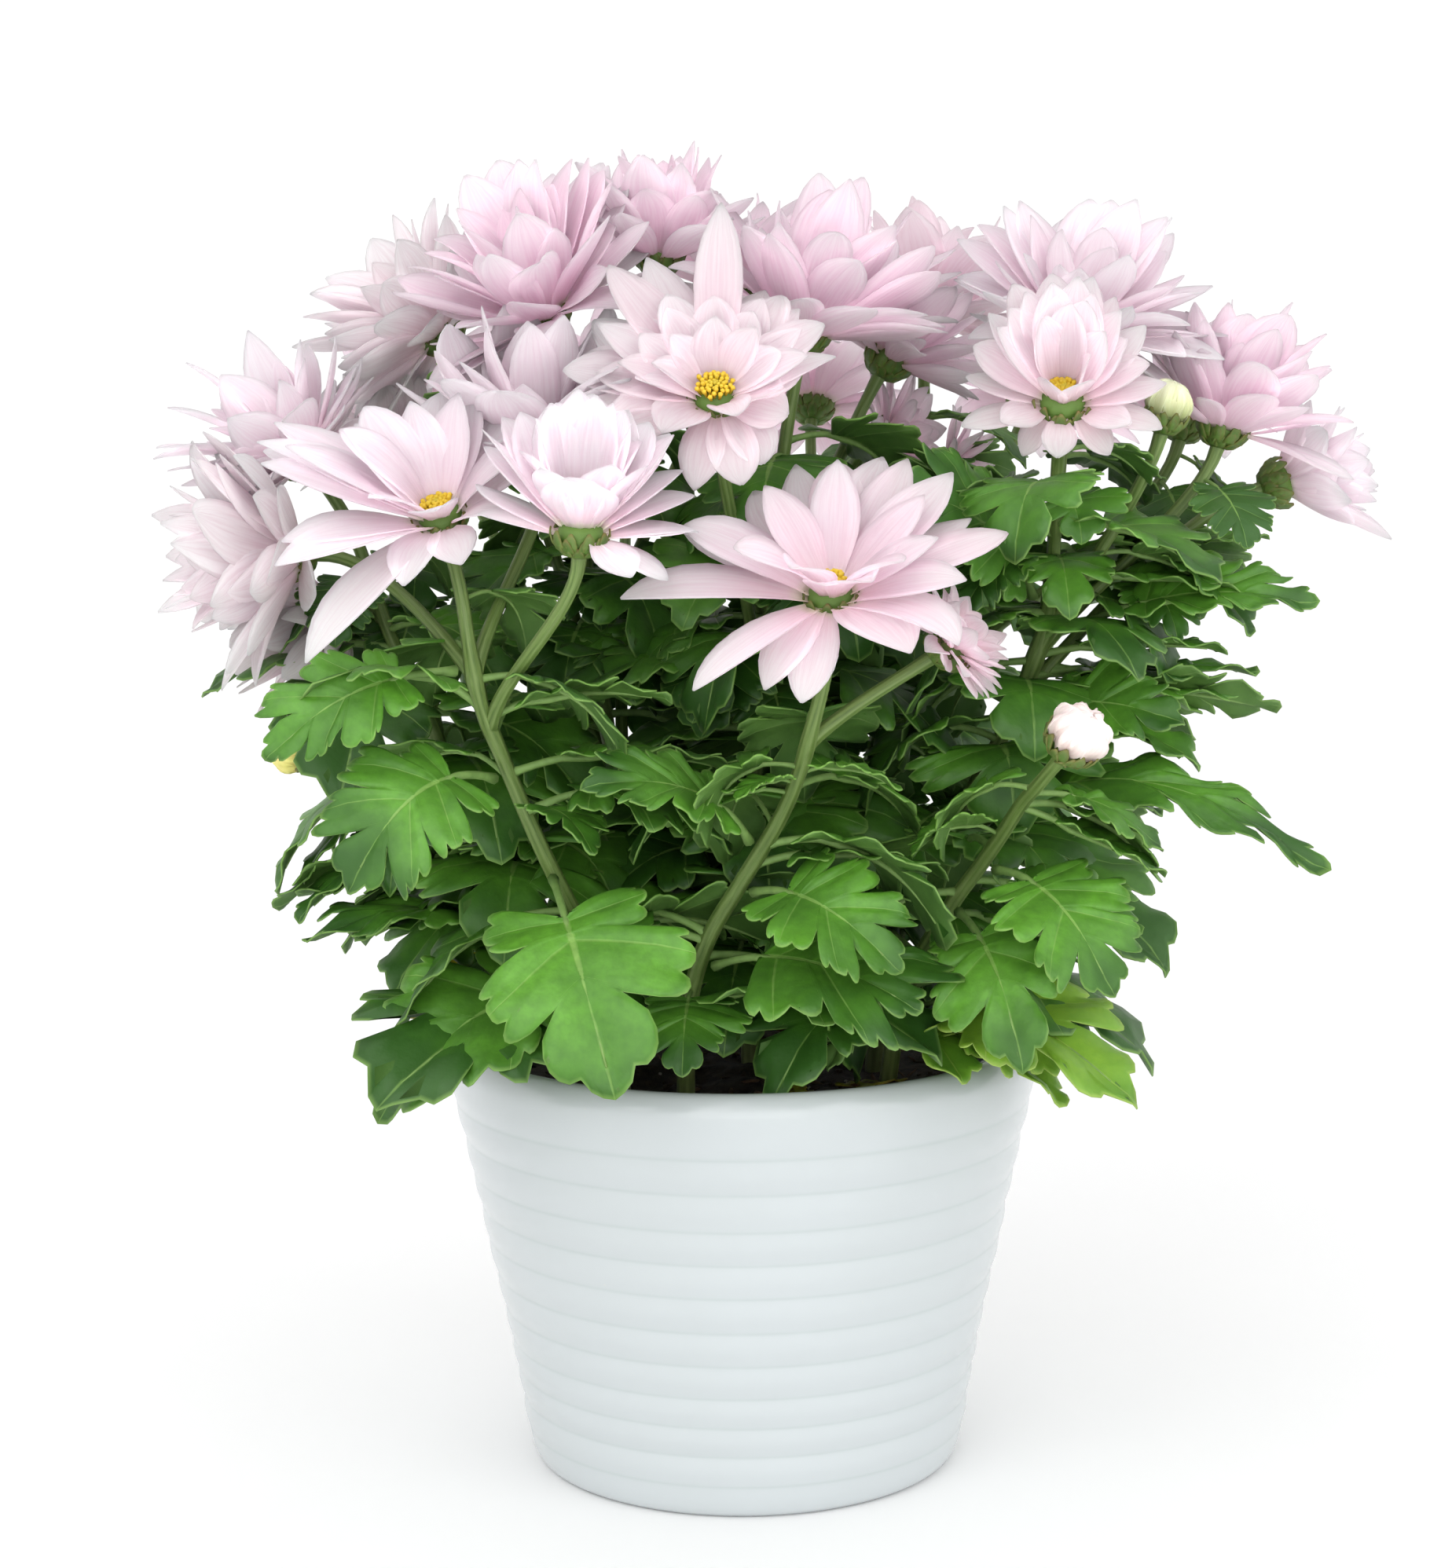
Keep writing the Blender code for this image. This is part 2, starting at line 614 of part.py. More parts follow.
def main():
    clear_scene()
    make_cachepot(material("glazed_white", (0.78, 0.83, 0.85), 0.2))
    make_nursery_pot(material("nursery_plastic", (0.02, 0.06, 0.04), 0.45))
    make_soil(material("soil", (0.03, 0.02, 0.012), 0.9))
    lines = make_stems(material("stem_green", (0.16, 0.30, 0.09), 0.55))
    petal = material("petal_pink", (0.80, 0.58, 0.70), 0.6)
    for name, head in HEADS.items():
        make_head(name, head, petal)
    bud_finish = material("bud_pale", (0.70, 0.66, 0.45), 0.6)
    for name, bud in BUDS.items():
        make_bud(name, bud, bud_finish)
    leaf_finish = material("leaf_green", (0.07, 0.22, 0.04), 0.6)
    for name, leaf in LEAVES.items():
        make_leaf(name, leaf, lines, leaf_finish)


main()
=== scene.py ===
"""The looks of the potted chrysanthemum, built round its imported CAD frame.

Sizes here are in millimetres and angles in degrees unless a name says otherwise; add_piece scales points to
metres. Heads, buds and leaves are placed from the vertices of the CAD nodes that they replace. A compass
angle is measured in plan from +X towards +Y, so -90 is the plant's front.
"""

import math
from collections import namedtuple

import bmesh
import bpy
import numpy as np
from mathutils import Matrix, Vector
from mathutils.kdtree import KDTree


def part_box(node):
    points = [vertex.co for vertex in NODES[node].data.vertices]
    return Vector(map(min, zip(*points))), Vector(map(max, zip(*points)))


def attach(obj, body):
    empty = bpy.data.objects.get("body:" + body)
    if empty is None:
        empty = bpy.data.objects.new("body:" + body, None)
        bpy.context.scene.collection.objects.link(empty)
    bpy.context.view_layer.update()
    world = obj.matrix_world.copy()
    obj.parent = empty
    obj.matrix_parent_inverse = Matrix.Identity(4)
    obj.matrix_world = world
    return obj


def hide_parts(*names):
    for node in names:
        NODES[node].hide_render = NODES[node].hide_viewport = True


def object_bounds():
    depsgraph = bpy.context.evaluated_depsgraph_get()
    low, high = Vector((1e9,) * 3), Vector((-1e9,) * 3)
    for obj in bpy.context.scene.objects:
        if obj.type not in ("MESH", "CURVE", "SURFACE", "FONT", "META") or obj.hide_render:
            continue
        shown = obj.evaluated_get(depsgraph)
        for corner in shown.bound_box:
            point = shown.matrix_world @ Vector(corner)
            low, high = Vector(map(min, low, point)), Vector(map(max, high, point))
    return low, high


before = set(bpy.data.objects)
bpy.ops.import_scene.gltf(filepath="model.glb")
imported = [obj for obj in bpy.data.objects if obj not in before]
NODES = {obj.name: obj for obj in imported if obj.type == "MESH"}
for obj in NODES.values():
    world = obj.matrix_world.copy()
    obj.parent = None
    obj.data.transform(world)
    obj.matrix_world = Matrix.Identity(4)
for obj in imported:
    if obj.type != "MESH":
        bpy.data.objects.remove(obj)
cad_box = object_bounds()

MM = 0.001
EAST = np.array([1.0, 0.0, 0.0])
NORTH = np.array([0.0, 1.0, 0.0])
UP = np.array([0.0, 0.0, 1.0])
FRONT = np.array([0.0, -1.0, 0.0])


# ------------------------------
# Small vector helpers
# ------------------------------

def unit(vector):
    return vector / max(np.linalg.norm(vector), 1e-12)


def units(vectors):
    """An array's vectors, each at length 1."""
    return vectors / np.linalg.norm(vectors, axis=-1, keepdims=True)


def across_to(vector, along):
    """The unit part of vector that is square to the unit vector along."""
    return unit(vector - along * np.dot(vector, along))


def compass(angle, elevation=0.0):
    """Unit vector towards a compass angle, raised by an elevation."""
    a, e = math.radians(angle), math.radians(elevation)
    return np.array([math.cos(e) * math.cos(a), math.cos(e) * math.sin(a), math.sin(e)])


def turns(count):
    """Evenly spaced angles round a full turn."""
    return np.linspace(0.0, 2 * math.pi, count, endpoint=False)


def circle(count, side, other):
    """Points round the unit circle in the plane of two square unit vectors."""
    angles = turns(count)
    return np.outer(np.cos(angles), side) + np.outer(np.sin(angles), other)


def turned_rings(profile, sides):
    """Rings of points round Z through (radius, height) pairs."""
    angles = turns(sides)
    radii, heights = np.array(profile, float).T
    return np.stack([
        np.outer(radii, np.cos(angles)),
        np.outer(radii, np.sin(angles)),
        np.repeat(heights[:, None], sides, axis=1),
    ], axis=-1)


def heading(line, i):
    """The direction of a line of points at its point i."""
    return unit(line[min(i + 1, len(line) - 1)] - line[max(i - 1, 0)])


def smoothstep(low, high, value):
    share = np.clip((value - low) / (high - low), 0.0, 1.0)
    return share * share * (3 - 2 * share)


def hermite(start, end, start_slope, end_slope, t):
    return (
        start * (2 * t**3 - 3 * t**2 + 1)
        + start_slope * (t**3 - 2 * t**2 + t)
        + end * (3 * t**2 - 2 * t**3)
        + end_slope * (t**3 - t**2)
    )


def even_points(line, spacing):
    """Points at equal steps of about spacing along a line of points, both ends included."""
    lengths = np.concatenate([[0.0], np.cumsum(np.linalg.norm(np.diff(line, axis=0), axis=1))])
    count = max(2, round(lengths[-1] / spacing))
    wanted = np.linspace(0.0, lengths[-1], count + 1)
    return np.stack([np.interp(wanted, lengths, line[:, k]) for k in range(3)], axis=1)


# ------------------------------
# Building pieces
# ------------------------------

class Shape:
    """Closed bodies gathered into one mesh. Each point carries a place (x, y, z) and a tint, which the
    materials read."""

    def __init__(self):
        self.points, self.places, self.tints, self.faces, self.slots = [], [], [], [], []
        self.count = 0

    def add(self, points, places, tint, faces, slots):
        points = np.asarray(points, float).reshape(-1, 3)
        self.points.append(points)
        self.places.append(np.broadcast_to(np.asarray(places, float), points.shape))
        self.tints.append(np.full(len(points), float(tint)))
        self.faces += [[i + self.count for i in face] for face in faces]
        self.slots += slots
        self.count += len(points)

    def tube(self, rings, places, tint, slot=0, caps=True):
        """A skin over rings of points, followed in the direction that their turn points to."""
        rows, columns = rings.shape[:2]
        index = np.arange(rows * columns).reshape(rows, columns)
        faces = quads(np.concatenate([index, index[:, :1]], axis=1))
        if caps:
            faces += [index[0][::-1].tolist(), index[-1].tolist()]
        places = np.broadcast_to(places, rings.shape).reshape(-1, 3)
        self.add(rings, places, tint, faces, [slot] * len(faces))

    def sheet(self, points, places, tint, thickness, slot=0, back=0, seam=False):
        """A thin closed shell under rows of points. Across goes left to right as seen from above, with the
        rows coming nearer. With seam, the two halves of the last row are one line."""
        rows, columns = points.shape[:2]
        index = np.arange(rows * columns).reshape(rows, columns)
        if seam:
            index[-1, columns // 2:] = index[-1, columns // 2::-1]
        upper = quads(index)
        corners = points.reshape(-1, 3)
        around = np.array(upper)
        diagonals = [corners[around[:, k + 2]] - corners[around[:, k]] for k in (0, 1)]
        facing = np.cross(*diagonals)
        normals = np.zeros_like(corners)
        for corner in range(4):
            np.add.at(normals, around[:, corner], facing)
        normals /= np.maximum(np.linalg.norm(normals, axis=1, keepdims=True), 1e-12)
        total = rows * columns
        lower = [[i + total for i in face[::-1]] for face in upper]
        sides = {(a, b) for face in upper for a, b in zip(face, face[1:] + face[:1])}
        rim = [[b, a, a + total, b + total] for a, b in sides if (b, a) not in sides]
        both = np.concatenate([corners, corners - normals * thickness])
        places = np.asarray(places, float).reshape(-1, 3)
        slots = [slot] * len(upper) + [back] * len(lower) + [slot] * len(rim)
        self.add(both, np.concatenate([places, places]), tint, upper + lower + sorted(rim), slots)


def quads(index):
    """The four-sided faces of a grid of point numbers."""
    faces = np.stack([index[:-1, :-1], index[:-1, 1:], index[1:, 1:], index[1:, :-1]], axis=-1)
    return faces.reshape(-1, 4).tolist()


def link_object(name, data):
    thing = bpy.data.objects.new(name, data)
    bpy.context.scene.collection.objects.link(thing)
    return thing


def add_piece(name, shape, materials, replaces=(), weld=0.0):
    """Makes one piece of the object from a Shape."""
    mesh = bpy.data.meshes.new(name)
    mesh.from_pydata((np.concatenate(shape.points) * MM).tolist(), [], shape.faces)
    places = mesh.attributes.new("place", "FLOAT_VECTOR", "POINT")
    places.data.foreach_set("vector", np.concatenate(shape.places).ravel())
    tints = mesh.attributes.new("tint", "FLOAT", "POINT")
    tints.data.foreach_set("value", np.concatenate(shape.tints))
    for material in materials:
        mesh.materials.append(material)
    mesh.polygons.foreach_set("material_index", shape.slots)
    mesh.shade_smooth()
    tidy = bmesh.new()
    tidy.from_mesh(mesh)
    bmesh.ops.delete(tidy, geom=[v for v in tidy.verts if not v.link_faces], context="VERTS")
    if weld:
        bmesh.ops.remove_doubles(tidy, verts=tidy.verts, dist=weld * MM)
    tidy.to_mesh(mesh)
    tidy.free()
    piece = link_object(name, mesh)
    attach(piece, "root")
    for node in replaces:
        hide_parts(node)
    return piece


# ------------------------------
# Materials
# ------------------------------

class Tree:
    """A short way to write a material's nodes."""

    def __init__(self, name, roughness):
        self.material = bpy.data.materials.new(name)
        self.material.use_nodes = True
        self.nodes = self.material.node_tree.nodes
        self.links = self.material.node_tree.links
        self.shader = self.nodes["Principled BSDF"]
        self.shader.inputs["Roughness"].default_value = roughness

    def put(self, socket, value):
        if isinstance(value, bpy.types.NodeSocket):
            self.links.new(value, socket)
        else:
            socket.default_value = value

    def math(self, operation, first, second=0.0, clamp=False):
        node = self.nodes.new("ShaderNodeMath")
        node.operation = operation
        node.use_clamp = clamp
        self.put(node.inputs[0], first)
        self.put(node.inputs[1], second)
        return node.outputs[0]

    def attribute(self, name, output="Fac"):
        node = self.nodes.new("ShaderNodeAttribute")
        node.attribute_name = name
        return node.outputs[output]

    def place(self):
        """The three parts of a point's place."""
        node = self.nodes.new("ShaderNodeSeparateXYZ")
        self.links.new(self.attribute("place", "Vector"), node.inputs[0])
        return node.outputs[0], node.outputs[1], node.outputs[2]

    def combine(self, x, y, z):
        node = self.nodes.new("ShaderNodeCombineXYZ")
        for socket, value in zip(node.inputs, (x, y, z)):
            self.put(socket, value)
        return node.outputs[0]

    def object_coordinates(self):
        return self.nodes.new("ShaderNodeTexCoord").outputs["Object"]

    def noise(self, vector, scale, detail=3.0, roughness=0.55, distortion=0.0):
        node = self.nodes.new("ShaderNodeTexNoise")
        self.put(node.inputs["Vector"], vector)
        node.inputs["Scale"].default_value = scale
        node.inputs["Detail"].default_value = detail
        node.inputs["Roughness"].default_value = roughness
        node.inputs["Distortion"].default_value = distortion
        return node.outputs["Fac"]

    def ramp(self, factor, stops):
        """Colours or greys by factor. stops holds (position, (r, g, b)) pairs, in linear colour."""
        node = self.nodes.new("ShaderNodeValToRGB")
        elements = node.color_ramp.elements
        while len(elements) < len(stops):
            elements.new(0.5)
        for element, (position, colour) in zip(elements, stops):
            element.position = position
            element.color = (*colour, 1.0)
        self.put(node.inputs[0], factor)
        return node.outputs[0]

    def mix(self, factor, first, second, blend="MIX"):
        node = self.nodes.new("ShaderNodeMix")
        node.data_type = "RGBA"
        node.blend_type = blend
        self.put(node.inputs["Factor"], factor)
        for socket, value in ((node.inputs["A"], first), (node.inputs["B"], second)):
            self.put(socket, (*value, 1.0) if isinstance(value, tuple) else value)
        return node.outputs["Result"]

    def range(self, value, low, high, new_low, new_high):
        node = self.nodes.new("ShaderNodeMapRange")
        for socket, given in zip(node.inputs, (value, low, high, new_low, new_high)):
            self.put(socket, given)
        return node.outputs[0]

    def colour(self, value):
        self.put(self.shader.inputs["Base Color"], value)

    def roughness(self, value):
        self.put(self.shader.inputs["Roughness"], value)

    def bump(self, height, strength, distance):
        node = self.nodes.new("ShaderNodeBump")
        node.inputs["Strength"].default_value = strength
        node.inputs["Distance"].default_value = distance * MM
        self.put(node.inputs["Height"], height)
        self.links.new(node.outputs[0], self.shader.inputs["Normal"])


def translucent(tree, weight, radius, scale):
    """Lets light into thin tissue. radius is its reach for red, green and blue."""
    tree.shader.subsurface_method = "BURLEY"
    tree.shader.inputs["Subsurface Weight"].default_value = weight
    tree.shader.inputs["Subsurface Radius"].default_value = radius
    tree.shader.inputs["Subsurface Scale"].default_value = scale * MM


def petal_material(name, base, belly, middle, tip, streak):
    """place is (across -1..1, along 0..1, a number for each petal)."""
    tree = Tree(name, 0.6)
    tree.shader.inputs["Specular IOR Level"].default_value = 0.25
    translucent(tree, 0.85, (1.0, 0.85, 0.92), 7.0)
    across, along, petal = tree.place()
    lengthwise = tree.ramp(along, [(0.0, base), (0.13, belly), (0.5, middle), (1.0, tip)])
    edge = tree.math("POWER", tree.math("ABSOLUTE", across), 2.5)
    pale = tree.mix(tree.math("MULTIPLY", edge, 0.2), lengthwise, tip)
    veins = tree.combine(tree.math("MULTIPLY", across, 5.5), tree.math("MULTIPLY", along, 1.1), petal)
    fine = tree.noise(veins, 2.0, detail=2.0)
    streaks = tree.ramp(fine, [(0.40, (1.0, 1.0, 1.0)), (0.66, streak)])
    patches = tree.noise(tree.object_coordinates(), 45.0, detail=1.0)
    tinted = tree.mix(tree.range(patches, 0.35, 0.7, 0.0, 0.6), pale, tree.mix(0.5, pale, tip))
    deeper = tree.mix(tree.math("MULTIPLY", tree.attribute("tint"), 0.45), tinted, belly)
    tree.colour(tree.mix(1.0, deeper, streaks, "MULTIPLY"))
    tree.bump(fine, 0.4, 0.22)
    return tree.material


def disc_material():
    """place is (0, along a floret 0..1, share of the disc's radius)."""
    tree = Tree("disc_florets", 0.6)
    translucent(tree, 0.2, (1.0, 0.7, 0.2), 1.0)
    _, along, radius = tree.place()
    green, gold, orange = (0.30, 0.33, 0.03), (0.62, 0.45, 0.02), (0.84, 0.53, 0.02)
    rows = tree.ramp(radius, [(0.0, green), (0.45, gold), (1.0, orange)])
    lit = tree.mix(tree.math("MULTIPLY", along, 0.45), rows, (0.90, 0.66, 0.06))
    grain = tree.noise(tree.object_coordinates(), 900.0, detail=2.0)
    tree.colour(tree.mix(tree.range(grain, 0.4, 0.7, 0.0, 0.35), lit, (0.52, 0.33, 0.01)))
    tree.bump(grain, 0.4, 0.2)
    return tree.material


def bract_material():
    """place is (across -1..1, along 0..1, 0)."""
    tree = Tree("bract_green", 0.6)
    translucent(tree, 0.1, (0.5, 1.0, 0.2), 1.0)
    across, along, _ = tree.place()
    claw, belly, point = (0.14, 0.25, 0.04), (0.07, 0.15, 0.02), (0.10, 0.13, 0.025)
    green = tree.ramp(along, [(0.0, claw), (0.55, belly), (1.0, point)])
    edge = tree.math("POWER", tree.math("ABSOLUTE", across), 3.0)
    tip = tree.ramp(along, [(0.8, (0.0,) * 3), (0.97, (0.8,) * 3)])
    dry = tree.math("MAXIMUM", tree.math("MULTIPLY", edge, 0.5), tip)
    grain = tree.noise(tree.object_coordinates(), 700.0, detail=3.0)
    brown = tree.math("MULTIPLY", dry, tree.range(grain, 0.3, 0.65, 0.45, 1.0))
    papery = tree.mix(brown, green, (0.20, 0.12, 0.03))
    tree.colour(tree.mix(tree.math("MULTIPLY", tree.attribute("tint"), 0.3), papery, (0.22, 0.30, 0.08)))
    tree.bump(grain, 0.5, 0.25)
    return tree.material


def leaf_material(name, young, old_and_shaded, vein, sunk, roughness):
    """place is (phase in the lobe, 0 on its vein and 1 at a notch; reach, 0 at the midrib and 1 at the edge;
    along the blade 0..1)."""
    tree = Tree(name, roughness)
    phase, reach, along = tree.place()
    where = tree.object_coordinates()
    broad = tree.noise(where, 60.0, detail=2.0)
    # a leaf darkens by its tint, for its age and as painted shade where it stands in shade, and darkens
    # towards its tip as painted shade
    aged_and_shaded = tree.math("ADD", tree.attribute("tint"), tree.range(along, 0.45, 1.0, 0.0, 0.55))
    shade = tree.math("ADD", aged_and_shaded, tree.range(broad, 0.3, 0.7, -0.28, 0.28), clamp=True)
    green = tree.mix(shade, young, old_and_shaded)
    fine = tree.noise(where, 420.0, detail=2.0)
    side = tree.math("ABSOLUTE", phase)
    side_width = tree.math("MULTIPLY", tree.math("SUBTRACT", 1.15, reach), 0.075)
    on_side = tree.range(tree.math("DIVIDE", side, side_width), 0.35, 1.0, 1.0, 0.0)
    rib_width = tree.math("MULTIPLY", tree.math("SUBTRACT", 1.35, along), 0.038)
    on_rib = tree.range(tree.math("DIVIDE", reach, rib_width), 0.5, 1.0, 1.0, 0.0)
    on_vein = tree.math("MAXIMUM", tree.math("MULTIPLY", on_side, 0.6), on_rib)
    veined = tree.mix(tree.math("MULTIPLY", on_vein, 0.7), green, vein)
    margin = tree.range(reach, 0.955, 1.0, 0.0, 0.5)
    mottled = tree.mix(tree.range(fine, 0.35, 0.7, 0.0, 0.30), veined, old_and_shaded)
    tree.colour(tree.mix(margin, mottled, vein))
    tree.roughness(tree.range(broad, 0.3, 0.7, roughness - 0.06, roughness + 0.08))
    tree.bump(tree.math("SUBTRACT", fine, tree.math("MULTIPLY", on_vein, sunk)), 0.45, 0.35)
    return tree.material


def yellow_leaf_material():
    tree = Tree("leaf_yellow", 0.55)
    translucent(tree, 0.2, (1.0, 0.8, 0.2), 1.5)
    _, reach, _ = tree.place()
    where = tree.object_coordinates()
    patches = tree.noise(where, 70.0, detail=4.0)
    green, lime, yellow = (0.10, 0.20, 0.02), (0.36, 0.36, 0.03), (0.50, 0.38, 0.04)
    base = tree.ramp(patches, [(0.34, green), (0.5, lime), (0.66, yellow)])
    spots = tree.ramp(tree.noise(where, 190.0, detail=3.0), [(0.60, (0.0,) * 3), (0.68, (1.0,) * 3)])
    spotted = tree.mix(spots, base, (0.13, 0.055, 0.015))
    tree.colour(tree.mix(tree.range(reach, 0.86, 1.0, 0.0, 0.5), spotted, (0.20, 0.09, 0.02)))
    tree.bump(patches, 0.5, 0.6)
    return tree.material


def stem_material():
    """place is (around 0..1, height in mm, ridge 0..1)."""
    tree = Tree("stem_green", 0.52)
    translucent(tree, 0.08, (0.5, 1.0, 0.2), 1.0)
    around, height, ridge = tree.place()
    lengthwise = tree.combine(tree.math("MULTIPLY", around, 9.0), tree.math("MULTIPLY", height, 0.06), 0.0)
    streak = tree.noise(lengthwise, 2.2, detail=3.0)
    dark, middle, light = (0.07, 0.13, 0.02), (0.12, 0.20, 0.04), (0.19, 0.28, 0.08)
    green = tree.ramp(streak, [(0.32, dark), (0.55, middle), (0.75, light)])
    ridged = tree.mix(tree.math("MULTIPLY", ridge, 0.45), green, (0.26, 0.35, 0.12))
    low = tree.range(height, 96.0, 125.0, 0.6, 0.0)
    tree.colour(tree.mix(low, ridged, (0.17, 0.16, 0.07)))
    hairs = tree.noise(tree.object_coordinates(), 1400.0, detail=2.0)
    tree.bump(hairs, 0.35, 0.2)
    return tree.material


def glaze_material():
    """place is (0, 0, depth in a groove 0..1)."""
    tree = Tree("glazed_white", 0.22)
    tree.shader.inputs["Coat Weight"].default_value = 0.35
    tree.shader.inputs["Coat Roughness"].default_value = 0.12
    _, _, groove = tree.place()
    where = tree.object_coordinates()
    cloud = tree.noise(where, 14.0, detail=2.0)
    white = tree.ramp(cloud, [(0.3, (0.535, 0.575, 0.585)), (0.7, (0.555, 0.595, 0.61))])
    # painted shade: the glaze darkens towards each groove's bottom
    groove_shaded = tree.mix(tree.math("MULTIPLY", groove, 0.5), white, (0.44, 0.50, 0.495))
    specks = tree.ramp(tree.noise(where, 520.0, detail=1.0), [(0.80, (0.0,) * 3), (0.84, (0.6,) * 3)])
    tree.colour(tree.mix(specks, groove_shaded, (0.58, 0.60, 0.58)))
    tree.roughness(tree.range(cloud, 0.3, 0.7, 0.20, 0.27))
    tree.bump(tree.noise(where, 60.0, detail=2.0), 0.10, 0.5)
    return tree.material


def biscuit_material():
    """The unglazed clay of the foot."""
    tree = Tree("biscuit_foot", 0.85)
    grain = tree.noise(tree.object_coordinates(), 900.0, detail=4.0)
    tree.colour(tree.ramp(grain, [(0.3, (0.52, 0.47, 0.40)), (0.7, (0.68, 0.63, 0.56))]))
    tree.bump(grain, 0.5, 0.3)
    return tree.material


def plastic_material():
    tree = Tree("nursery_plastic", 0.42)
    where = tree.object_coordinates()
    scuffs = tree.noise(where, 160.0, detail=4.0, distortion=0.6)
    tree.colour(tree.ramp(scuffs, [(0.35, (0.012, 0.042, 0.028)), (0.7, (0.028, 0.075, 0.052))]))
    tree.roughness(tree.range(scuffs, 0.3, 0.7, 0.34, 0.56))
    tree.bump(tree.noise(where, 1500.0, detail=2.0), 0.2, 0.15)
    return tree.material


def soil_material(name, dark, light, grain_scale):
    tree = Tree(name, 0.92)
    grain = tree.noise(tree.object_coordinates(), grain_scale, detail=5.0, roughness=0.7)
    base = tree.ramp(grain, [(0.36, dark), (0.66, light)])
    tree.colour(tree.mix(tree.math("MULTIPLY", tree.attribute("tint"), 0.7), base, light))
    tree.bump(grain, 0.9, 0.8)
    return tree.material


# ------------------------------
# Reading the CAD nodes
# ------------------------------

def node_points(name):
    """A CAD node's separate vertices, in millimetres."""
    mesh = NODES[name].data
    points = np.empty(len(mesh.vertices) * 3)
    mesh.vertices.foreach_get("co", points)
    return np.unique(np.round(points.reshape(-1, 3) / MM, 3), axis=0)


def nodes_called(prefix):
    return sorted(name for name in NODES if name.startswith(prefix))


def tree_of(points):
    tree = KDTree(len(points))
    for i, point in enumerate(points):
        tree.insert(point, i)
    tree.balance()
    return tree


STEM_POINTS = np.concatenate([node_points(name) for name in nodes_called("stem_")])
STEM_TREE = tree_of(STEM_POINTS)
COLLAR_REACH = 1.6  # a bearer's base ring lies this near to the end of its pedicel
COLLAR_WIDTH = 3.9  # and a point with most others within this of it is on that ring

Bearer = namedtuple("Bearer", "base axis side other reach height")


def read_bearer(name):
    """Where a head or a bud stands: its base and axis, the direction square to the axis that faces the front,
    and the size of its CAD solid."""
    points = node_points(name)
    near = [i for i, point in enumerate(points) if STEM_TREE.find(point)[2] < COLLAR_REACH]
    collar = points[near]
    crowd = [(np.linalg.norm(collar - point, axis=1) < COLLAR_WIDTH).sum() for point in collar]
    base = collar[np.array(crowd) > max(crowd) / 2].mean(axis=0)
    axis = unit(points.mean(axis=0) - base)
    side = across_to(FRONT, axis)
    rise = (points - base) @ axis
    out = np.linalg.norm(points - base - np.outer(rise, axis), axis=1)
    widest = out.argmax()
    return Bearer(base, axis, side, np.cross(axis, side), out[widest], rise[widest])


def turned_profile(name):
    """The (radius, height) pairs of a turned CAD node, in order from its foot round to its inside."""
    mesh = NODES[name].data
    places = {v.index: tuple(np.round(np.array(v.co) / MM, 2)) for v in mesh.vertices}
    links = {}
    for edge in mesh.edges:
        a, b = (places[i] for i in edge.vertices)
        if a != b and all(abs(p[1]) < 0.01 and p[0] > 20.0 for p in (a, b)):
            links.setdefault(a, set()).add(b)
            links.setdefault(b, set()).add(a)
    lowest = min(p[2] for p in links)
    walk = [max((p for p in links if p[2] == lowest), key=lambda p: p[0])]
    while True:
        ahead = [p for p in links[walk[-1]] if p not in walk]
        if not ahead:
            return [(p[0], p[2]) for p in walk]
        walk.append(min(ahead, key=lambda p: np.linalg.norm(np.subtract(p, walk[-1]))))


# ------------------------------
# Pots and soil
# ------------------------------

POT_SIDES = 180
RIB_STEPS = 7
LIP_STEPS = 5
FOOT_RECESS = 0.5  # the pot stands on a ring, and its middle is this much higher
FOOT_RING = 5.0
GROOVE_SPREAD = 0.35  # how far from a groove's bottom the glaze is still darkened as painted groove shade
RIB_BULGE = 0.6  # of the CAD ribs' bulge, which is drawn coarsely


def turn(shape, profile, sides, depths=None, slot=0):
    """Adds a surface turned round Z through (radius, height) pairs. depths mark how near each ring lies to a
    groove's bottom, where the glaze gets painted groove shade.
    """
    rings = turned_rings(profile, sides)
    marks = np.zeros((len(profile), 1, 3))
    if depths is not None:
        marks[:, 0, 2] = depths
    shape.tube(rings, np.broadcast_to(marks, rings.shape), 0.0, slot=slot, caps=False)


def is_groove(before, here, after):
    """True where an outer profile, followed upwards, turns inwards and out again."""
    first = np.subtract(here, before)
    second = np.subtract(after, here)
    return first[0] * second[1] - first[1] * second[0] < -0.5


def through(points, steps):
    """A smooth line through points, with steps samples on each leg."""
    points = [np.array(p, float) for p in points]
    slopes = [points[1] - points[0]]
    slopes += [(c - a) / 2 for a, c in zip(points, points[2:])]
    slopes.append(points[-1] - points[-2])
    line = []
    for i in range(len(points) - 1):
        for step in range(steps):
            line.append(hermite(points[i], points[i + 1], slopes[i], slopes[i + 1], step / steps))
    line.append(points[-1])
    return line


def rib(points):
    """A rib between two grooves: a soft curve, flatter than straight legs through its points."""
    line = np.array(through(points, RIB_STEPS))
    share = (line[:, 1:] - line[0, 1]) / (line[-1, 1] - line[0, 1])
    straight = line[0] + (line[-1] - line[0]) * share
    return list(straight + (line - straight) * RIB_BULGE)


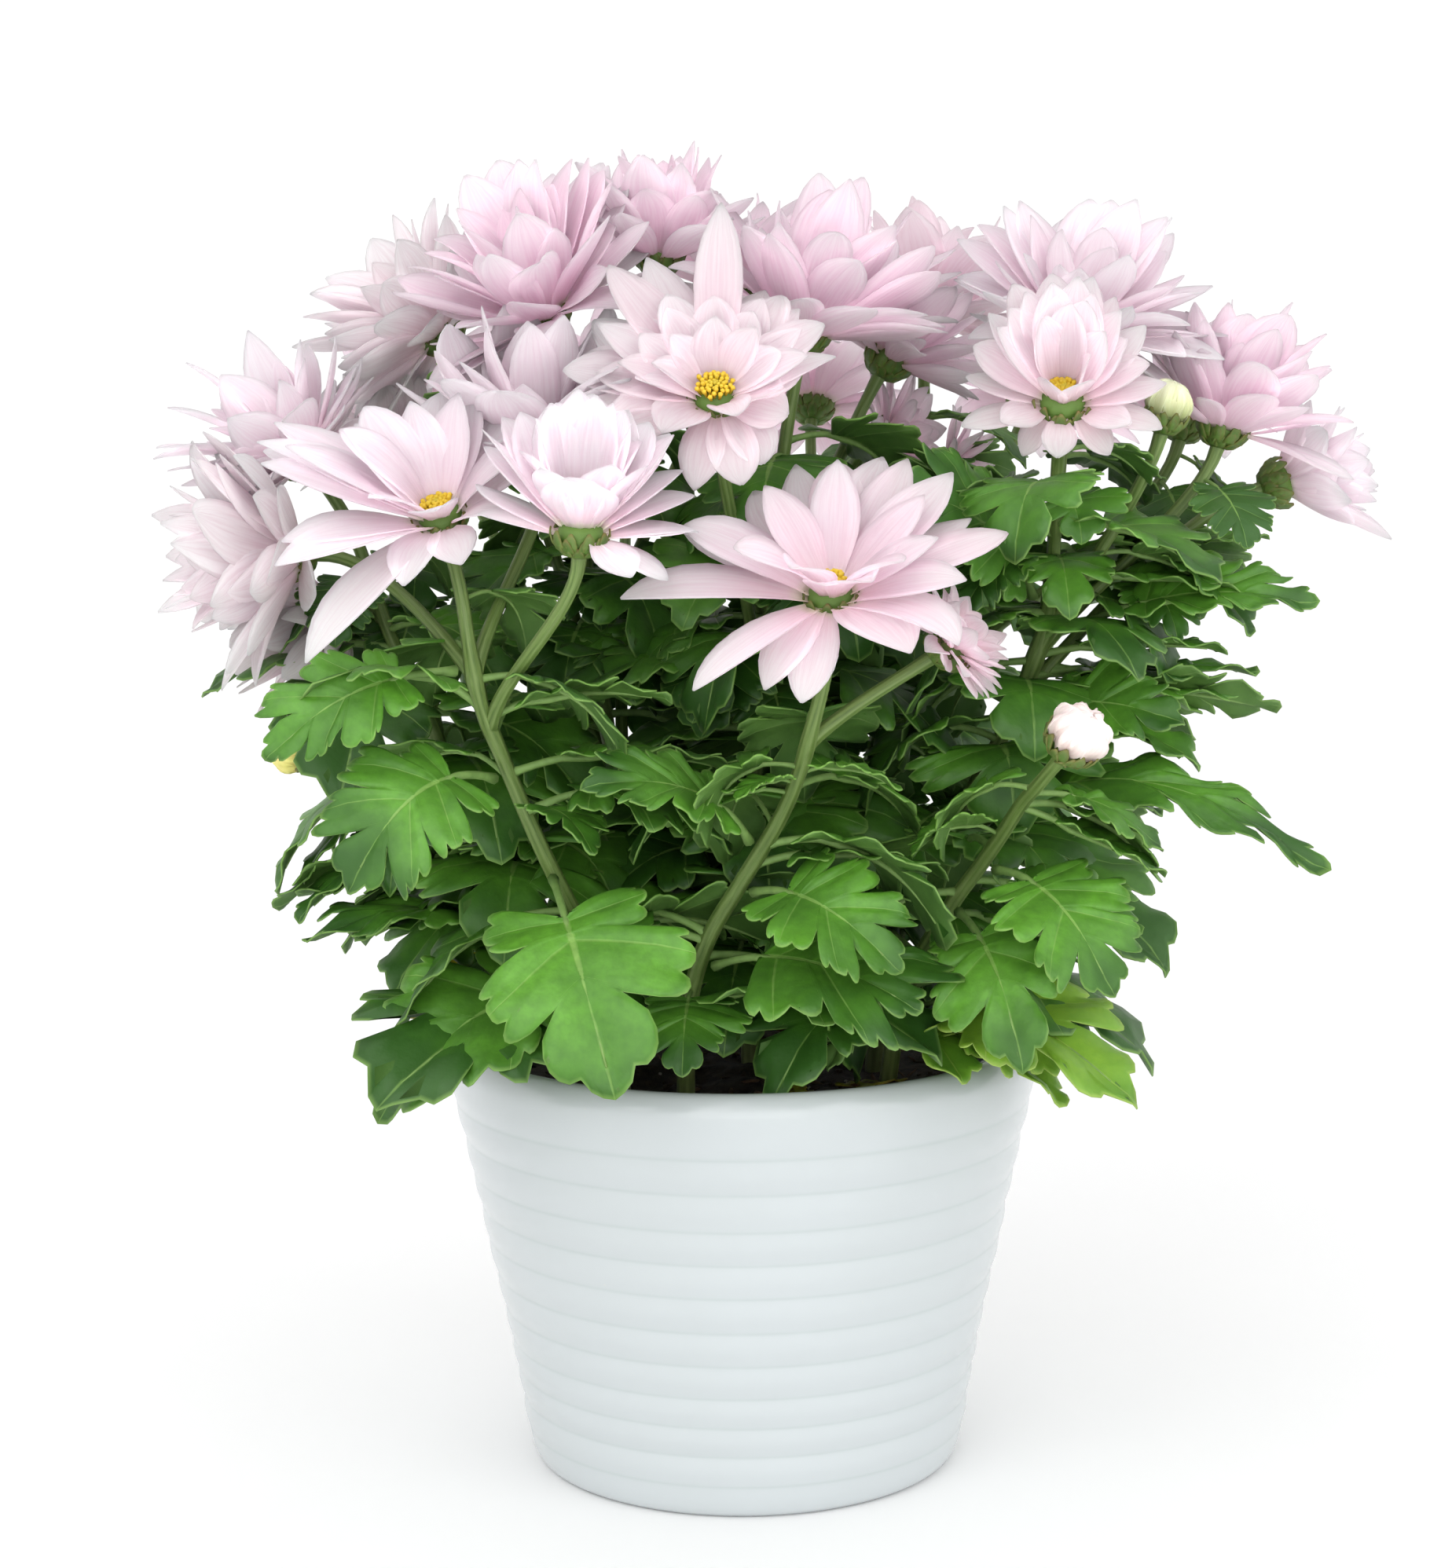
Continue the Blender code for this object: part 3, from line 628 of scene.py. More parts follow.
def make_cachepot():
    """The glazed pot: crisp grooves between convex ribs, a rounded lip, and an unglazed foot ring."""
    profile = turned_profile("cachepot")
    top = max(range(len(profile)), key=lambda i: profile[i][1])
    grooves = [i for i in range(1, top) if is_groove(profile[i - 1], profile[i], profile[i + 1])]
    inside = next(i for i in range(top, len(profile)) if profile[i][0] == profile[i + 1][0])
    line = []
    for low, high in zip([0, *grooves], [*grooves, inside]):
        points = profile[low:high + 1]
        line += (through(points, LIP_STEPS) if high == inside else rib(points))[:-1]
    line = np.array(line + profile[inside:])
    foot_radius = profile[0][0]
    floor_radius, floor_height = profile[-1]
    floor = [(r, floor_height) for r in (floor_radius * 0.96, floor_radius * 0.5, 0.01)]
    cut = np.array([profile[i] for i in grooves])
    depths = np.exp(-np.linalg.norm(line[:, None] - cut[None], axis=2).min(axis=1) / GROOVE_SPREAD)
    under = [
        (0.01, FOOT_RECESS), (foot_radius - FOOT_RING - 1.5, FOOT_RECESS), (foot_radius - FOOT_RING, 0.0),
        (foot_radius, 0.0),
    ]
    shape = Shape()
    turn(shape, under, POT_SIDES, slot=1)
    turn(shape, [*line, *floor], POT_SIDES, depths=[*depths, 0.0, 0.0, 0.0])
    materials = [glaze_material(), biscuit_material()]
    add_piece("cachepot_body", shape, materials, ["cachepot"], weld=0.02)


HOLE_SIDES = 16
EASE = 0.5  # rounding of the plastic's corners


def eased(profile):
    """The profile with each inner corner cut back a little to both sides."""
    line = [profile[0]]
    for before, here, after in zip(profile, profile[1:], profile[2:]):
        for neighbour in (before, after):
            step = np.subtract(neighbour, here)
            line.append(tuple(np.add(here, unit(step) * min(EASE, np.linalg.norm(step) / 3))))
    return [*line, profile[-1]]


def drain_holes():
    """(centre, radius) of each drainage hole in the CAD node's base."""
    points = node_points("nursery_pot")
    radii = np.linalg.norm(points[:, :2], axis=1)
    inner = points[radii < radii.max() * 0.55]
    groups = []
    for point in inner:
        flat = point * (1, 1, 0)
        home = next((g for g in groups if np.linalg.norm(g[0] - flat) < radii.max() / 6), None)
        if home is None:
            groups.append([flat])
        else:
            home.append(flat)
    holes = []
    for group in groups:
        centre = np.mean(group, axis=0)
        holes.append((centre, np.linalg.norm(group[0] - centre)))
    return holes


def make_nursery_pot():
    """The thin inner pot, with a rolled rim and drainage holes through its base."""
    profile = turned_profile("nursery_pot")
    low, high = profile[0][1], profile[-1][1]
    shape = Shape()
    turn(shape, [(0.01, low), *eased(profile), (0.01, high)], POT_SIDES // 2)
    finish = [plastic_material()]
    pot = add_piece("nursery_pot_body", shape, finish, ["nursery_pot"], weld=0.05)
    drills = Shape()
    for centre, radius in drain_holes():
        ring = centre + circle(HOLE_SIDES, EAST, NORTH) * radius
        wall = np.stack([ring + UP * (low - 1.0), ring + UP * (high + 1.0)])
        drills.tube(wall, np.zeros(3), 0.0)
    cutter = link_object("drills", bpy.data.meshes.new("drills"))
    cutter.data.from_pydata((np.concatenate(drills.points) * MM).tolist(), [], drills.faces)
    cut = pot.modifiers.new("drain", "BOOLEAN")
    cut.operation = "DIFFERENCE"
    cut.object = cutter
    graph = bpy.context.evaluated_depsgraph_get()
    drilled = bpy.data.meshes.new_from_object(pot.evaluated_get(graph))
    pot.modifiers.clear()
    pot.data = drilled
    pot.data.set_sharp_from_angle(angle=math.radians(50))
    bpy.data.objects.remove(cutter)


SOIL_SIDES = 120
SOIL_RINGS = 34
SOIL_LUMPS = 1.5
CHIP_COUNT = 300
CHIP_SPREAD = 0.97
# (material slot: 0 soil, 1 bark, 2 grit; length, width and height) of each kind of chip
CHIP_KINDS = [
    (0, (3.6, 1.8, 0.9)), (0, (2.2, 1.4, 1.0)), (1, (5.5, 2.2, 1.0)), (1, (7.5, 0.9, 0.7)),
    (2, (1.3, 1.1, 1.0)),
]
CHIP_CHANCES = [0.36, 0.34, 0.16, 0.09, 0.05]
CHIP_SIDES = 7
# Yellowed leaves on the soil: compass angle and share of the radius where each starts, the way it points,
# and its length
FALLEN_LEAVES = [
    (-110, 0.75, -160, 26.0), (-95, 0.82, 10, 30.0), (-75, 0.80, -20, 28.0), (-85, 0.60, -60, 24.0),
    (-130, 0.70, -100, 22.0), (-60, 0.75, 40, 24.0), (70, 0.70, 150, 28.0), (160, 0.72, 60, 26.0),
]


def waves(x, y, seed, octaves=5, scale=0.12, gain=0.62):
    """Rough ground: a sum of turned sine waves of growing pitch, about -1..1."""
    random = np.random.default_rng(seed)
    total = np.zeros_like(x)
    height = 1.0
    for _ in range(octaves):
        for _ in range(3):
            turned = random.uniform(0, 2 * math.pi)
            shift = random.uniform(0, 2 * math.pi)
            total += height / 3 * np.sin((x * math.cos(turned) + y * math.sin(turned)) * scale + shift)
        scale *= 1.9
        height *= gain
    return total


def soil_profile():
    """(outer radius at the surface, edge height, crown height, foot radius, foot height) of the node."""
    points = node_points("potting_soil")
    radii = np.linalg.norm(points[:, :2], axis=1)
    foot = points[:, 2].min()
    edge = radii.argmax()
    return radii[edge], points[edge, 2], points[:, 2].max(), radii[points[:, 2] < foot + 0.5].max(), foot


def soil_height(x, y):
    radius, edge, crown, _, _ = soil_profile()
    share = np.hypot(x, y) / radius
    height = crown - (crown - edge) * share**2
    return height + SOIL_LUMPS * waves(x, y, seed=3) * (1 - smoothstep(0.93, 1.0, share)) - SOIL_LUMPS * 0.3


def make_soil(finishes):
    """The root ball, lumpy on top, with bark chips, grit and fallen leaf pieces lying on it."""
    radius, _, _, foot_radius, foot = soil_profile()
    angles = turns(SOIL_SIDES)
    shares = np.linspace(0.0, 1.0, SOIL_RINGS)
    shares[0] = 0.002
    x, y = np.outer(shares, np.cos(angles)) * radius, np.outer(shares, np.sin(angles)) * radius
    top = np.stack([x, y, soil_height(x, y)], axis=-1)[::-1]
    below = turned_rings([(0.05, foot), (foot_radius * 0.5, foot), (foot_radius, foot)], SOIL_SIDES)
    shape = Shape()
    shape.tube(np.concatenate([below, top]), np.zeros(3), 0.0)
    soil = soil_material("soil", (0.010, 0.007, 0.004), (0.050, 0.033, 0.020), 320.0)
    bark = soil_material("bark_chips", (0.035, 0.018, 0.009), (0.13, 0.075, 0.040), 500.0)
    grit = soil_material("grit", (0.30, 0.28, 0.24), (0.50, 0.48, 0.42), 900.0)
    add_piece("soil_body", shape, [soil], ["potting_soil"])
    add_piece("soil_chips", scattered_chips(radius * CHIP_SPREAD), [soil, bark, grit])
    add_piece("fallen_leaves", fallen_leaves(), [finishes["leaf_yellow"], bark])


def scattered_chips(reach):
    """Crumbs of soil, bark and grit, scattered evenly over the soil as far out as reach."""
    chips = Shape()
    random = np.random.default_rng(11)
    for _ in range(CHIP_COUNT):
        slot, size = CHIP_KINDS[random.choice(len(CHIP_KINDS), p=CHIP_CHANCES)]
        at = compass(random.uniform(0, 360)) * reach * math.sqrt(random.uniform(0.02, 1.0))
        at[2] = soil_height(at[0], at[1]) + size[2] * 0.25
        lump(chips, at, np.array(size) * random.uniform(0.6, 1.25), random, slot)
    return chips


def fallen_leaves():
    fallen = Shape()
    for angle, out, turned, long in FALLEN_LEAVES:
        start = soil_spot(angle, out)
        reach = compass(turned) * long
        tip = start + reach
        tip[2] = soil_height(tip[0], tip[1]) + 2.5
        control = (start + tip) / 2 + UP * 4
        across = unit(np.cross(UP, reach))
        make_leaf(fallen, Leaf(start, control, tip, across, long * 0.6, int(angle) % 360, 0.5))
    return fallen


def soil_spot(angle, out):
    """A point just over the soil at a compass angle and a share of its radius."""
    spot = compass(angle) * soil_profile()[0] * out
    spot[2] = soil_height(spot[0], spot[1]) + 2.0
    return spot


def lump(shape, centre, size, random, slot):
    """A rough closed pebble or chip, as six rings between two poles, turned and tipped at random."""
    rows = []
    for tilt in np.radians([-88, -48, -10, 30, 62, 88]):
        rough = random.uniform(0.78, 1.18, CHIP_SIDES)
        flat = circle(CHIP_SIDES, EAST, NORTH) * math.cos(tilt) * rough[:, None]
        rows.append(flat + UP * math.sin(tilt) * random.uniform(0.85, 1.1))
    points = np.stack(rows) * size / 2
    turned, tip = random.uniform(0, 2 * math.pi), random.normal(0, 0.35)
    c, s = math.cos(turned), math.sin(turned)
    ct, st = math.cos(tip), math.sin(tip)
    spin = np.array([[c, -s, 0], [s, c, 0], [0, 0, 1]]) @ np.array([[ct, 0, st], [0, 1, 0], [-st, 0, ct]])
    shape.tube(points @ spin.T + centre, np.zeros(3), random.uniform(0, 1), slot=slot)


# ------------------------------
# Stems
# ------------------------------

# The routes that the CAD shoots follow, in millimetres: the foot in the soil, points on the way up, the
# bearer on top, and the height at which each branch leaves for its bearer.
Shoot = namedtuple("Shoot", "foot route top branches")
SHOOTS = {
    "stem_left_front": Shoot(
        (-30, -30),
        [(-33, -40, 130), (-46, -62, 165), (-54, -70, 187), (-60, -78, 206), (-62, -82, 224)],
        "flower_left_front",
        [(200, "flower_front_left"), (208, "flower_left_outer"), (214, "flower_front_left_inner")],
    ),
    "stem_left": Shoot(
        (-40, -4),
        [(-44, -10, 130), (-57, -19, 157), (-70, -26, 177), (-76, -28, 195), (-84, -24, 211)],
        "flower_left_side",
        [(178, "bud_yellow"), (190, "flower_left_inner"), (200, "flower_left_low")],
    ),
    "stem_centre_front": Shoot(
        (-14, -34),
        [(-13, -44, 125), (-8, -54, 144), (0, -62, 159), (10, -74, 178), (16, -86, 198)],
        "flower_front_low",
        [(192, "flower_front_small")],
    ),
    "stem_right": Shoot(
        (34, 4),
        [(38, 0, 130), (50, -10, 158), (61, -20, 181), (69, -28, 200), (74, -38, 222)],
        "flower_right_front",
        [
            (196, "flower_right_outer"), (206, "flower_right_side"), (212, "bud_green"),
            (220, "flower_right_crown"),
        ],
    ),
    "stem_right_low": Shoot(
        (36, -24),
        [(40, -36, 128), (50, -50, 151), (58, -61, 165), (65, -76, 180)],
        "bud_pink",
        [],
    ),
    "stem_centre": Shoot(
        (2, 0),
        [(2, -6, 140), (4, -18, 185), (8, -28, 225), (10, -32, 250)],
        "flower_crown_right",
        [(190, "flower_centre"), (205, "flower_crown_right_low"), (214, "flower_crown_top")],
    ),
    "stem_back_left": Shoot(
        (-20, 30),
        [(-24, 26, 140), (-34, 18, 185), (-38, 6, 225), (-39, -8, 255)],
        "flower_crown_left",
        [
            (160, "flower_back_mid_left"), (168, "flower_back_left"), (186, "flower_left_crown"),
            (204, "flower_crown_back"),
        ],
    ),
    "stem_back_right": Shoot(
        (24, 32),
        [(28, 36, 140), (38, 42, 185), (47, 46, 225), (50, 43, 250)],
        "flower_crown_right_back",
        [
            (158, "flower_back_mid"), (166, "flower_back_right"), (184, "flower_right_inner"),
            (192, "flower_inner_right_low"), (200, "flower_inner_right"),
        ],
    ),
}
FOOT_DEPTH = 84.0
SOIL_LEVEL = 101.0
RING_SPACING = 13.0
LINE_STEPS = 24
FORK_ALONG = 0.5
FORK_PULL = 0.9
BEARER_PULL = 0.7
END_GAP = 0.3

SHOOT_RADIUS = 2.3
NECK_RADIUS = 1.45
FORK_RADIUS = 1.75
STEM_STEP = 3.0
STEM_SIDES = 14
STEM_RIDGES = 7
RIDGE_HEIGHT = 0.07  # over the stem's radius
STEM_SEAM = np.array([0.31, 0.95, 0.05])  # where a stem's ring of points starts
FORK_SWELL = 0.16
FORK_SWELL_REACH = 5.0
INTO_HEAD = 1.6  # how far a pedicel runs on into its receptacle


def shoot_line(shoot, bearers):
    """The centreline of a shoot, as in the CAD model."""
    foot = np.array(shoot.foot, float)
    top = bearers[shoot.top]
    end = top.base - top.axis * END_GAP
    points = [np.array([*foot, FOOT_DEPTH]), np.array([*foot, SOIL_LEVEL])]
    points += [np.array(p, float) for p in shoot.route]
    points.append(end)
    slopes = [points[1] - points[0]]
    slopes += [(after - before) / 2 for before, after in zip(points, points[2:])]
    slopes.append(top.axis * np.linalg.norm(points[-1] - points[-2]))
    line = []
    for i in range(len(points) - 1):
        for step in range(LINE_STEPS):
            line.append(hermite(points[i], points[i + 1], slopes[i], slopes[i + 1], step / LINE_STEPS))
    line.append(points[-1])
    return even_points(np.array(line), RING_SPACING)


def branch_line(main, height, bearer):
    """The centreline of a branch, from the middle of a shoot's leg at this height to its bearer."""
    leg = max(i for i in range(len(main) - 1) if main[i][2] < height)
    start = (main[leg] + main[leg + 1]) / 2
    end = bearer.base - bearer.axis * END_GAP
    reach = np.linalg.norm(end - start)
    outwards = unit(unit(main[leg + 1] - main[leg]) * FORK_ALONG + unit(end - start))
    slopes = (outwards * reach * FORK_PULL, bearer.axis * reach * BEARER_PULL)
    steps = np.linspace(0.0, 1.0, LINE_STEPS + 1)
    return np.array([hermite(start, end, *slopes, t) for t in steps])


def smooth(line, spacing):
    """The line through coarse points again, evenly sampled."""
    return even_points(np.array(through(line, 8)), spacing)


def stem_tube(shape, line, radii, tint):
    """A ridged, capped tube round a line of points."""
    angles = turns(STEM_SIDES)
    wave = np.cos(angles * STEM_RIDGES)
    side = across_to(STEM_SEAM, heading(line, 0))
    rows, places = [], []
    for i, point in enumerate(line):
        along = heading(line, i)
        side = across_to(side, along)
        out = radii[i] * (1 + RIDGE_HEIGHT * wave)
        rows.append(point + circle(STEM_SIDES, side, np.cross(along, side)) * out[:, None])
        height = np.full(STEM_SIDES, point[2])
        places.append(np.stack([angles / (2 * math.pi), height, (wave + 1) / 2], axis=1))
    shape.tube(np.array(rows), np.array(places), tint)


def make_stems(bearers):
    """Makes every shoot with its branches, and returns {shoot: (main line, [branch lines])}."""
    finish = stem_material()
    lines = {}
    for name, shoot in SHOOTS.items():
        shape = Shape()
        coarse = shoot_line(shoot, bearers)
        main = smooth(coarse, STEM_STEP)
        top = bearers[shoot.top]
        branches = [smooth(branch_line(coarse, h, bearers[b]), STEM_STEP) for h, b in shoot.branches]
        share = np.linspace(0.0, 1.0, len(main))
        radii = SHOOT_RADIUS + (NECK_RADIUS - SHOOT_RADIUS) * share
        for branch in branches:
            apart = np.linalg.norm(main - branch[0], axis=1)
            radii *= 1 + FORK_SWELL * np.exp(-((apart / FORK_SWELL_REACH) ** 2))
        stem_tube(shape, ended_in(main, top), ended_radii(radii), 0.2)
        for branch in branches:
            share = np.linspace(0.0, 1.0, len(branch))
            radii = FORK_RADIUS + (NECK_RADIUS - FORK_RADIUS) * np.minimum(share * 3, 1.0)
            bearer = min(bearers.values(), key=lambda b: np.linalg.norm(b.base - branch[-1]))
            stem_tube(shape, ended_in(branch, bearer), ended_radii(radii), 0.5)
        check_inside(name, main)
        add_piece(name + "_shoot", shape, [finish], [name])
        lines[name] = (main, branches)
    return lines


def ended_in(line, bearer):
    """The line carried on into its bearer."""
    return np.concatenate([line, [bearer.base + bearer.axis * INTO_HEAD]])


def ended_radii(radii):
    """A pedicel widens just under its bearer."""
    wide = radii.copy()
    wide[-2:] *= (1.06, 1.16)
    return np.append(wide, wide[-1] * 1.08)


def check_inside(name, line):
    """Stops if a repeated route has come apart from its CAD node."""
    low, high = (np.array(corner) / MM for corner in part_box(name))
    if (line < low - 1).any() or (line > high + 1).any():
        raise ValueError(f"{name} doesn't follow its CAD node")


# ------------------------------
# Flower heads and buds
# ------------------------------

# A blade's rows: share of its length, and share of its width there. Most petals are pointed.
PETAL_ROWS = [
    (0.0, 0.34), (0.12, 0.50), (0.26, 0.76), (0.40, 0.94), (0.53, 1.0),
    (0.66, 0.94), (0.78, 0.76), (0.88, 0.49), (0.95, 0.24), (1.0, 0.03),
]
BLUNT_ROWS = [
    (0.0, 0.34), (0.12, 0.50), (0.26, 0.74), (0.40, 0.92), (0.54, 1.0),
    (0.67, 0.98), (0.78, 0.86), (0.88, 0.62), (0.95, 0.34), (1.0, 0.05),
]
POINTED_SHARE = 0.7
PETAL_ACROSS = (1.0, 0.6, 0.2, -0.2, -0.6, -1.0)
PETAL_GROOVES = (0.0, -1.0, 0.8, 0.8, -1.0, 0.0)
PETAL_THICKNESS = 0.28
BRACT_ROWS = [(0.0, 0.65), (0.35, 1.0), (0.75, 0.8), (1.0, 0.2)]
BRACT_ACROSS = (1.0, 0.0, -1.0)
BRACT_GROOVES = (0.0, -1.0, 0.0)
BRACT_THICKNESS = 0.4

# (radius, height) pairs of the receptacle, and of a bud's core over the bud's radius and length
RECEPTACLE = [(0.3, -0.4), (1.9, 0.0), (4.7, 2.2), (5.3, 4.2), (4.9, 6.2), (3.0, 7.6), (0.3, 8.2)]
BUD_CORE = [(0.2, 0.1), (0.62, 0.25), (0.86, 0.45), (0.70, 0.72), (0.38, 0.88), (0.08, 0.93)]
RECEPTACLE_SIDES = 14
HEART = 6.0  # radius and height of the place that the CAD cup's rays are taken to spring from

# Whorls of bracts: radius and height of the claw, elevation at the claw and at the tip, and length
BRACT_WHORLS = [(2.0, 0.5, 16, 62, 4.0), (3.4, 1.4, 32, 76, 4.6), (4.5, 2.3, 48, 88, 4.6)]
BRACTS_IN_WHORL = 10
BRACT_WIDTH = 2.8

# Whorls of rays, from the outside in: how many, their length over the head's ray, and their elevation at the
# claw and at the tip, over the head's own rise. An open head lies flatter and shows its disc.
OPEN_RISE = 27  # a head whose CAD cup rises less than this is an open one
OPEN_WHORLS = [(11, 1.0, 2, -26), (10, 0.98, 14, -6), (9, 0.84, 34, 18), (5, 0.62, 54, 44)]
CUP_WHORLS = [
    (9, 0.92, -34, -30), (10, 1.0, -18, -14), (9, 1.04, -4, 2), (8, 0.98, 12, 15), (5, 0.84, 30, 34),
]

MOST_ELEVATION = 94
LEAST_WIDTH = 6.5

# Rays of a bud, folded over one another: how many, the claw's radius and height over the bud's radius and
# length, and the elevation of the tip
BUD_WHORLS = [(8, 0.78, 0.34, 134), (7, 0.66, 0.42, 146), (5, 0.5, 0.5, 158)]

DISC_FLORETS = 48
DISC_RADIUS = 3.0
DISC_TOP = 8.0  # height of the disc's middle, which lies DISC_CROWN over its edge
DISC_CROWN = 1.4
FLORET_SIDES = 5
GOLDEN_ANGLE = 137.508

# How a petal or a bract is bent. low and high are its elevations at the claw and the tip, curl lifts the last
# stretch, sweep bends it sideways and twist turns it. cup and groove hollow it across, and sag droops it.
Form = namedtuple("Form", "length width low high curl sweep twist cup sag groove")


def blade(shape, bearer, at, azimuth, form, kind, place, tint):
    """One petal or bract, which leaves its bearer at (radius, height) and curves from one elevation to
    another. kind holds its rows, columns, grooves and thickness."""
    rows, columns, grooves, thickness = kind
    share, wide = np.array(rows).T
    rise = np.radians(form.low + (form.high - form.low) * share + form.curl * share**4)
    turn = np.radians(azimuth + form.sweep * share**2)
    out = np.outer(np.cos(turn), bearer.side) + np.outer(np.sin(turn), bearer.other)
    along = out * np.cos(rise)[:, None] + np.outer(np.sin(rise), bearer.axis)
    along = units(along - np.outer(share * form.sag, UP))
    steps = (along[1:] + along[:-1]) / 2 * (np.diff(share) * form.length)[:, None]
    start = bearer.base + bearer.axis * at[1] + out[0] * at[0]
    line = start + np.concatenate([np.zeros((1, 3)), np.cumsum(steps, axis=0)])
    across = np.cross(bearer.axis, out)
    across = units(across - along * (across * along).sum(axis=1, keepdims=True))
    normal = np.cross(along, across)
    roll = np.radians(form.twist * share)[:, None]
    rolled_across = across * np.cos(roll) + normal * np.sin(roll)
    rolled_normal = normal * np.cos(roll) - across * np.sin(roll)
    half = form.width / 2 * wide
    columns = np.array(columns)
    lift = form.cup * np.outer(half, columns**2) + form.groove * np.outer(wide, grooves)
    points = line[:, None] + rolled_across[:, None] * np.outer(half, columns)[..., None]
    points = points + rolled_normal[:, None] * lift[..., None]
    places = np.stack(np.broadcast_arrays(columns[None, :], share[:, None], place), axis=-1)
    shape.sheet(points, places, tint, thickness)


PETAL = (PETAL_ROWS, PETAL_ACROSS, PETAL_GROOVES, PETAL_THICKNESS)
BLUNT_PETAL = (BLUNT_ROWS, PETAL_ACROSS, PETAL_GROOVES, PETAL_THICKNESS)
BRACT = (BRACT_ROWS, BRACT_ACROSS, BRACT_GROOVES, BRACT_THICKNESS)

# A fan of rays: how many, the azimuths between which they spread (from the head's lowest side), their
# elevation over the head's own plane and their length, both at the fan's start, middle and end, their width,
# and how far their tips bend down.
Fan = namedtuple("Fan", "count start end elevations lengths width bend", defaults=(13.5, 8))
FAN_SHARES = (0.0, 0.5, 1.0)

# What a head's own numbers don't give: its petals' colour, length over the CAD head's ray, width over length
# and droop, and the longer rays that stand out of its whorls.
Look = namedtuple("Look", "finish long wide sag fans", defaults=("pink", 1.05, 0.36, 0.1, ()))
LOOKS = {
    "flower_left_outer": Look("dusky", 1.05, 0.47, 0.12, [
        Fan(4, -112, -50, (82, 66, 74), (31, 34, 25)),
        Fan(5, 66, 130, (42, 66, 30), (28, 30, 33)),
        Fan(2, -20, 12, (-6, 40, 84), (20, 24, 27)),
    ]),
    "flower_left_low": Look("dusky", 1.1, 0.40, 0.2, [
        Fan(3, -88, -56, (20, 50, 34), (31, 30, 36), 10),
        Fan(2, -72, 76, (80, 82, 84), (29, 28, 26)),
    ]),
    "flower_left_side": Look("pale", 1.03, 0.45, 0.08, [
        Fan(5, -88, -54, (86, 50, 40), (33, 35, 31)),
        Fan(2, 98, 150, (52, 60, 66), (26, 30, 34)),
        Fan(2, -34, -4, (8, 40, 78), (22, 25, 28)),
    ]),
    "flower_left_crown": Look("dusky", 1.03, 0.43, 0.1, [
        Fan(5, -78, -46, (38, 60, 66), (33, 31, 28)),
        Fan(3, 44, 120, (84, 50, 68), (28, 30, 30)),
        Fan(2, -70, -46, (6, 12, 20), (28, 28, 28)),
    ]),
    "flower_crown_left": Look("pink", 1.08, 0.46, 0.05, [
        Fan(6, 108, 172, (48, 76, 60), (34, 35, 37)),
        Fan(5, 118, 168, (30, 44, 42), (35, 40, 36)),
        Fan(2, -160, -122, (68, 72, 76), (34, 32, 30)),
        Fan(2, -96, -60, (42, 20, 0), (26, 30, 34), 12),
    ]),
    "flower_crown_right": Look("pink", 0.98, 0.44, 0.05, [
        Fan(3, -26, 42, (86, 70, 56), (34, 38, 34)),
        Fan(4, 58, 86, (20, 14, 40), (31, 30, 29)),
        Fan(2, 156, 220, (74, 73, 72), (38, 34, 30)),
    ]),
    "flower_right_crown": Look("pale", 0.93, 0.47, 0.05, [
        Fan(4, -142, -96, (46, 40, 12), (32, 33, 29)),
        Fan(5, 100, 178, (54, 62, 58), (31, 32, 30), 13),
        Fan(4, 56, 128, (6, 18, 40), (34, 31, 33), 11),
    ]),
    "flower_right_side": Look("pink", 0.98, 0.47, 0.05, [
        Fan(4, 82, 72, (-6, 36, 76), (28, 24, 32)),
        Fan(3, -124, -92, (38, 56, 80), (26, 27, 28)),
        Fan(2, -18, 20, (74, 72, 70), (26, 27, 28)),
    ]),
    "flower_crown_top": Look("pink", 0.92, 0.50),
    "flower_crown_right_back": Look("blush", 1.1, 0.45),
    "flower_left_inner": Look("dusky", 1.05, 0.42),
    "flower_front_left_inner": Look("pale", 1.3, 0.46),
    "flower_front_small": Look("blush", 1.0, 0.38),
}

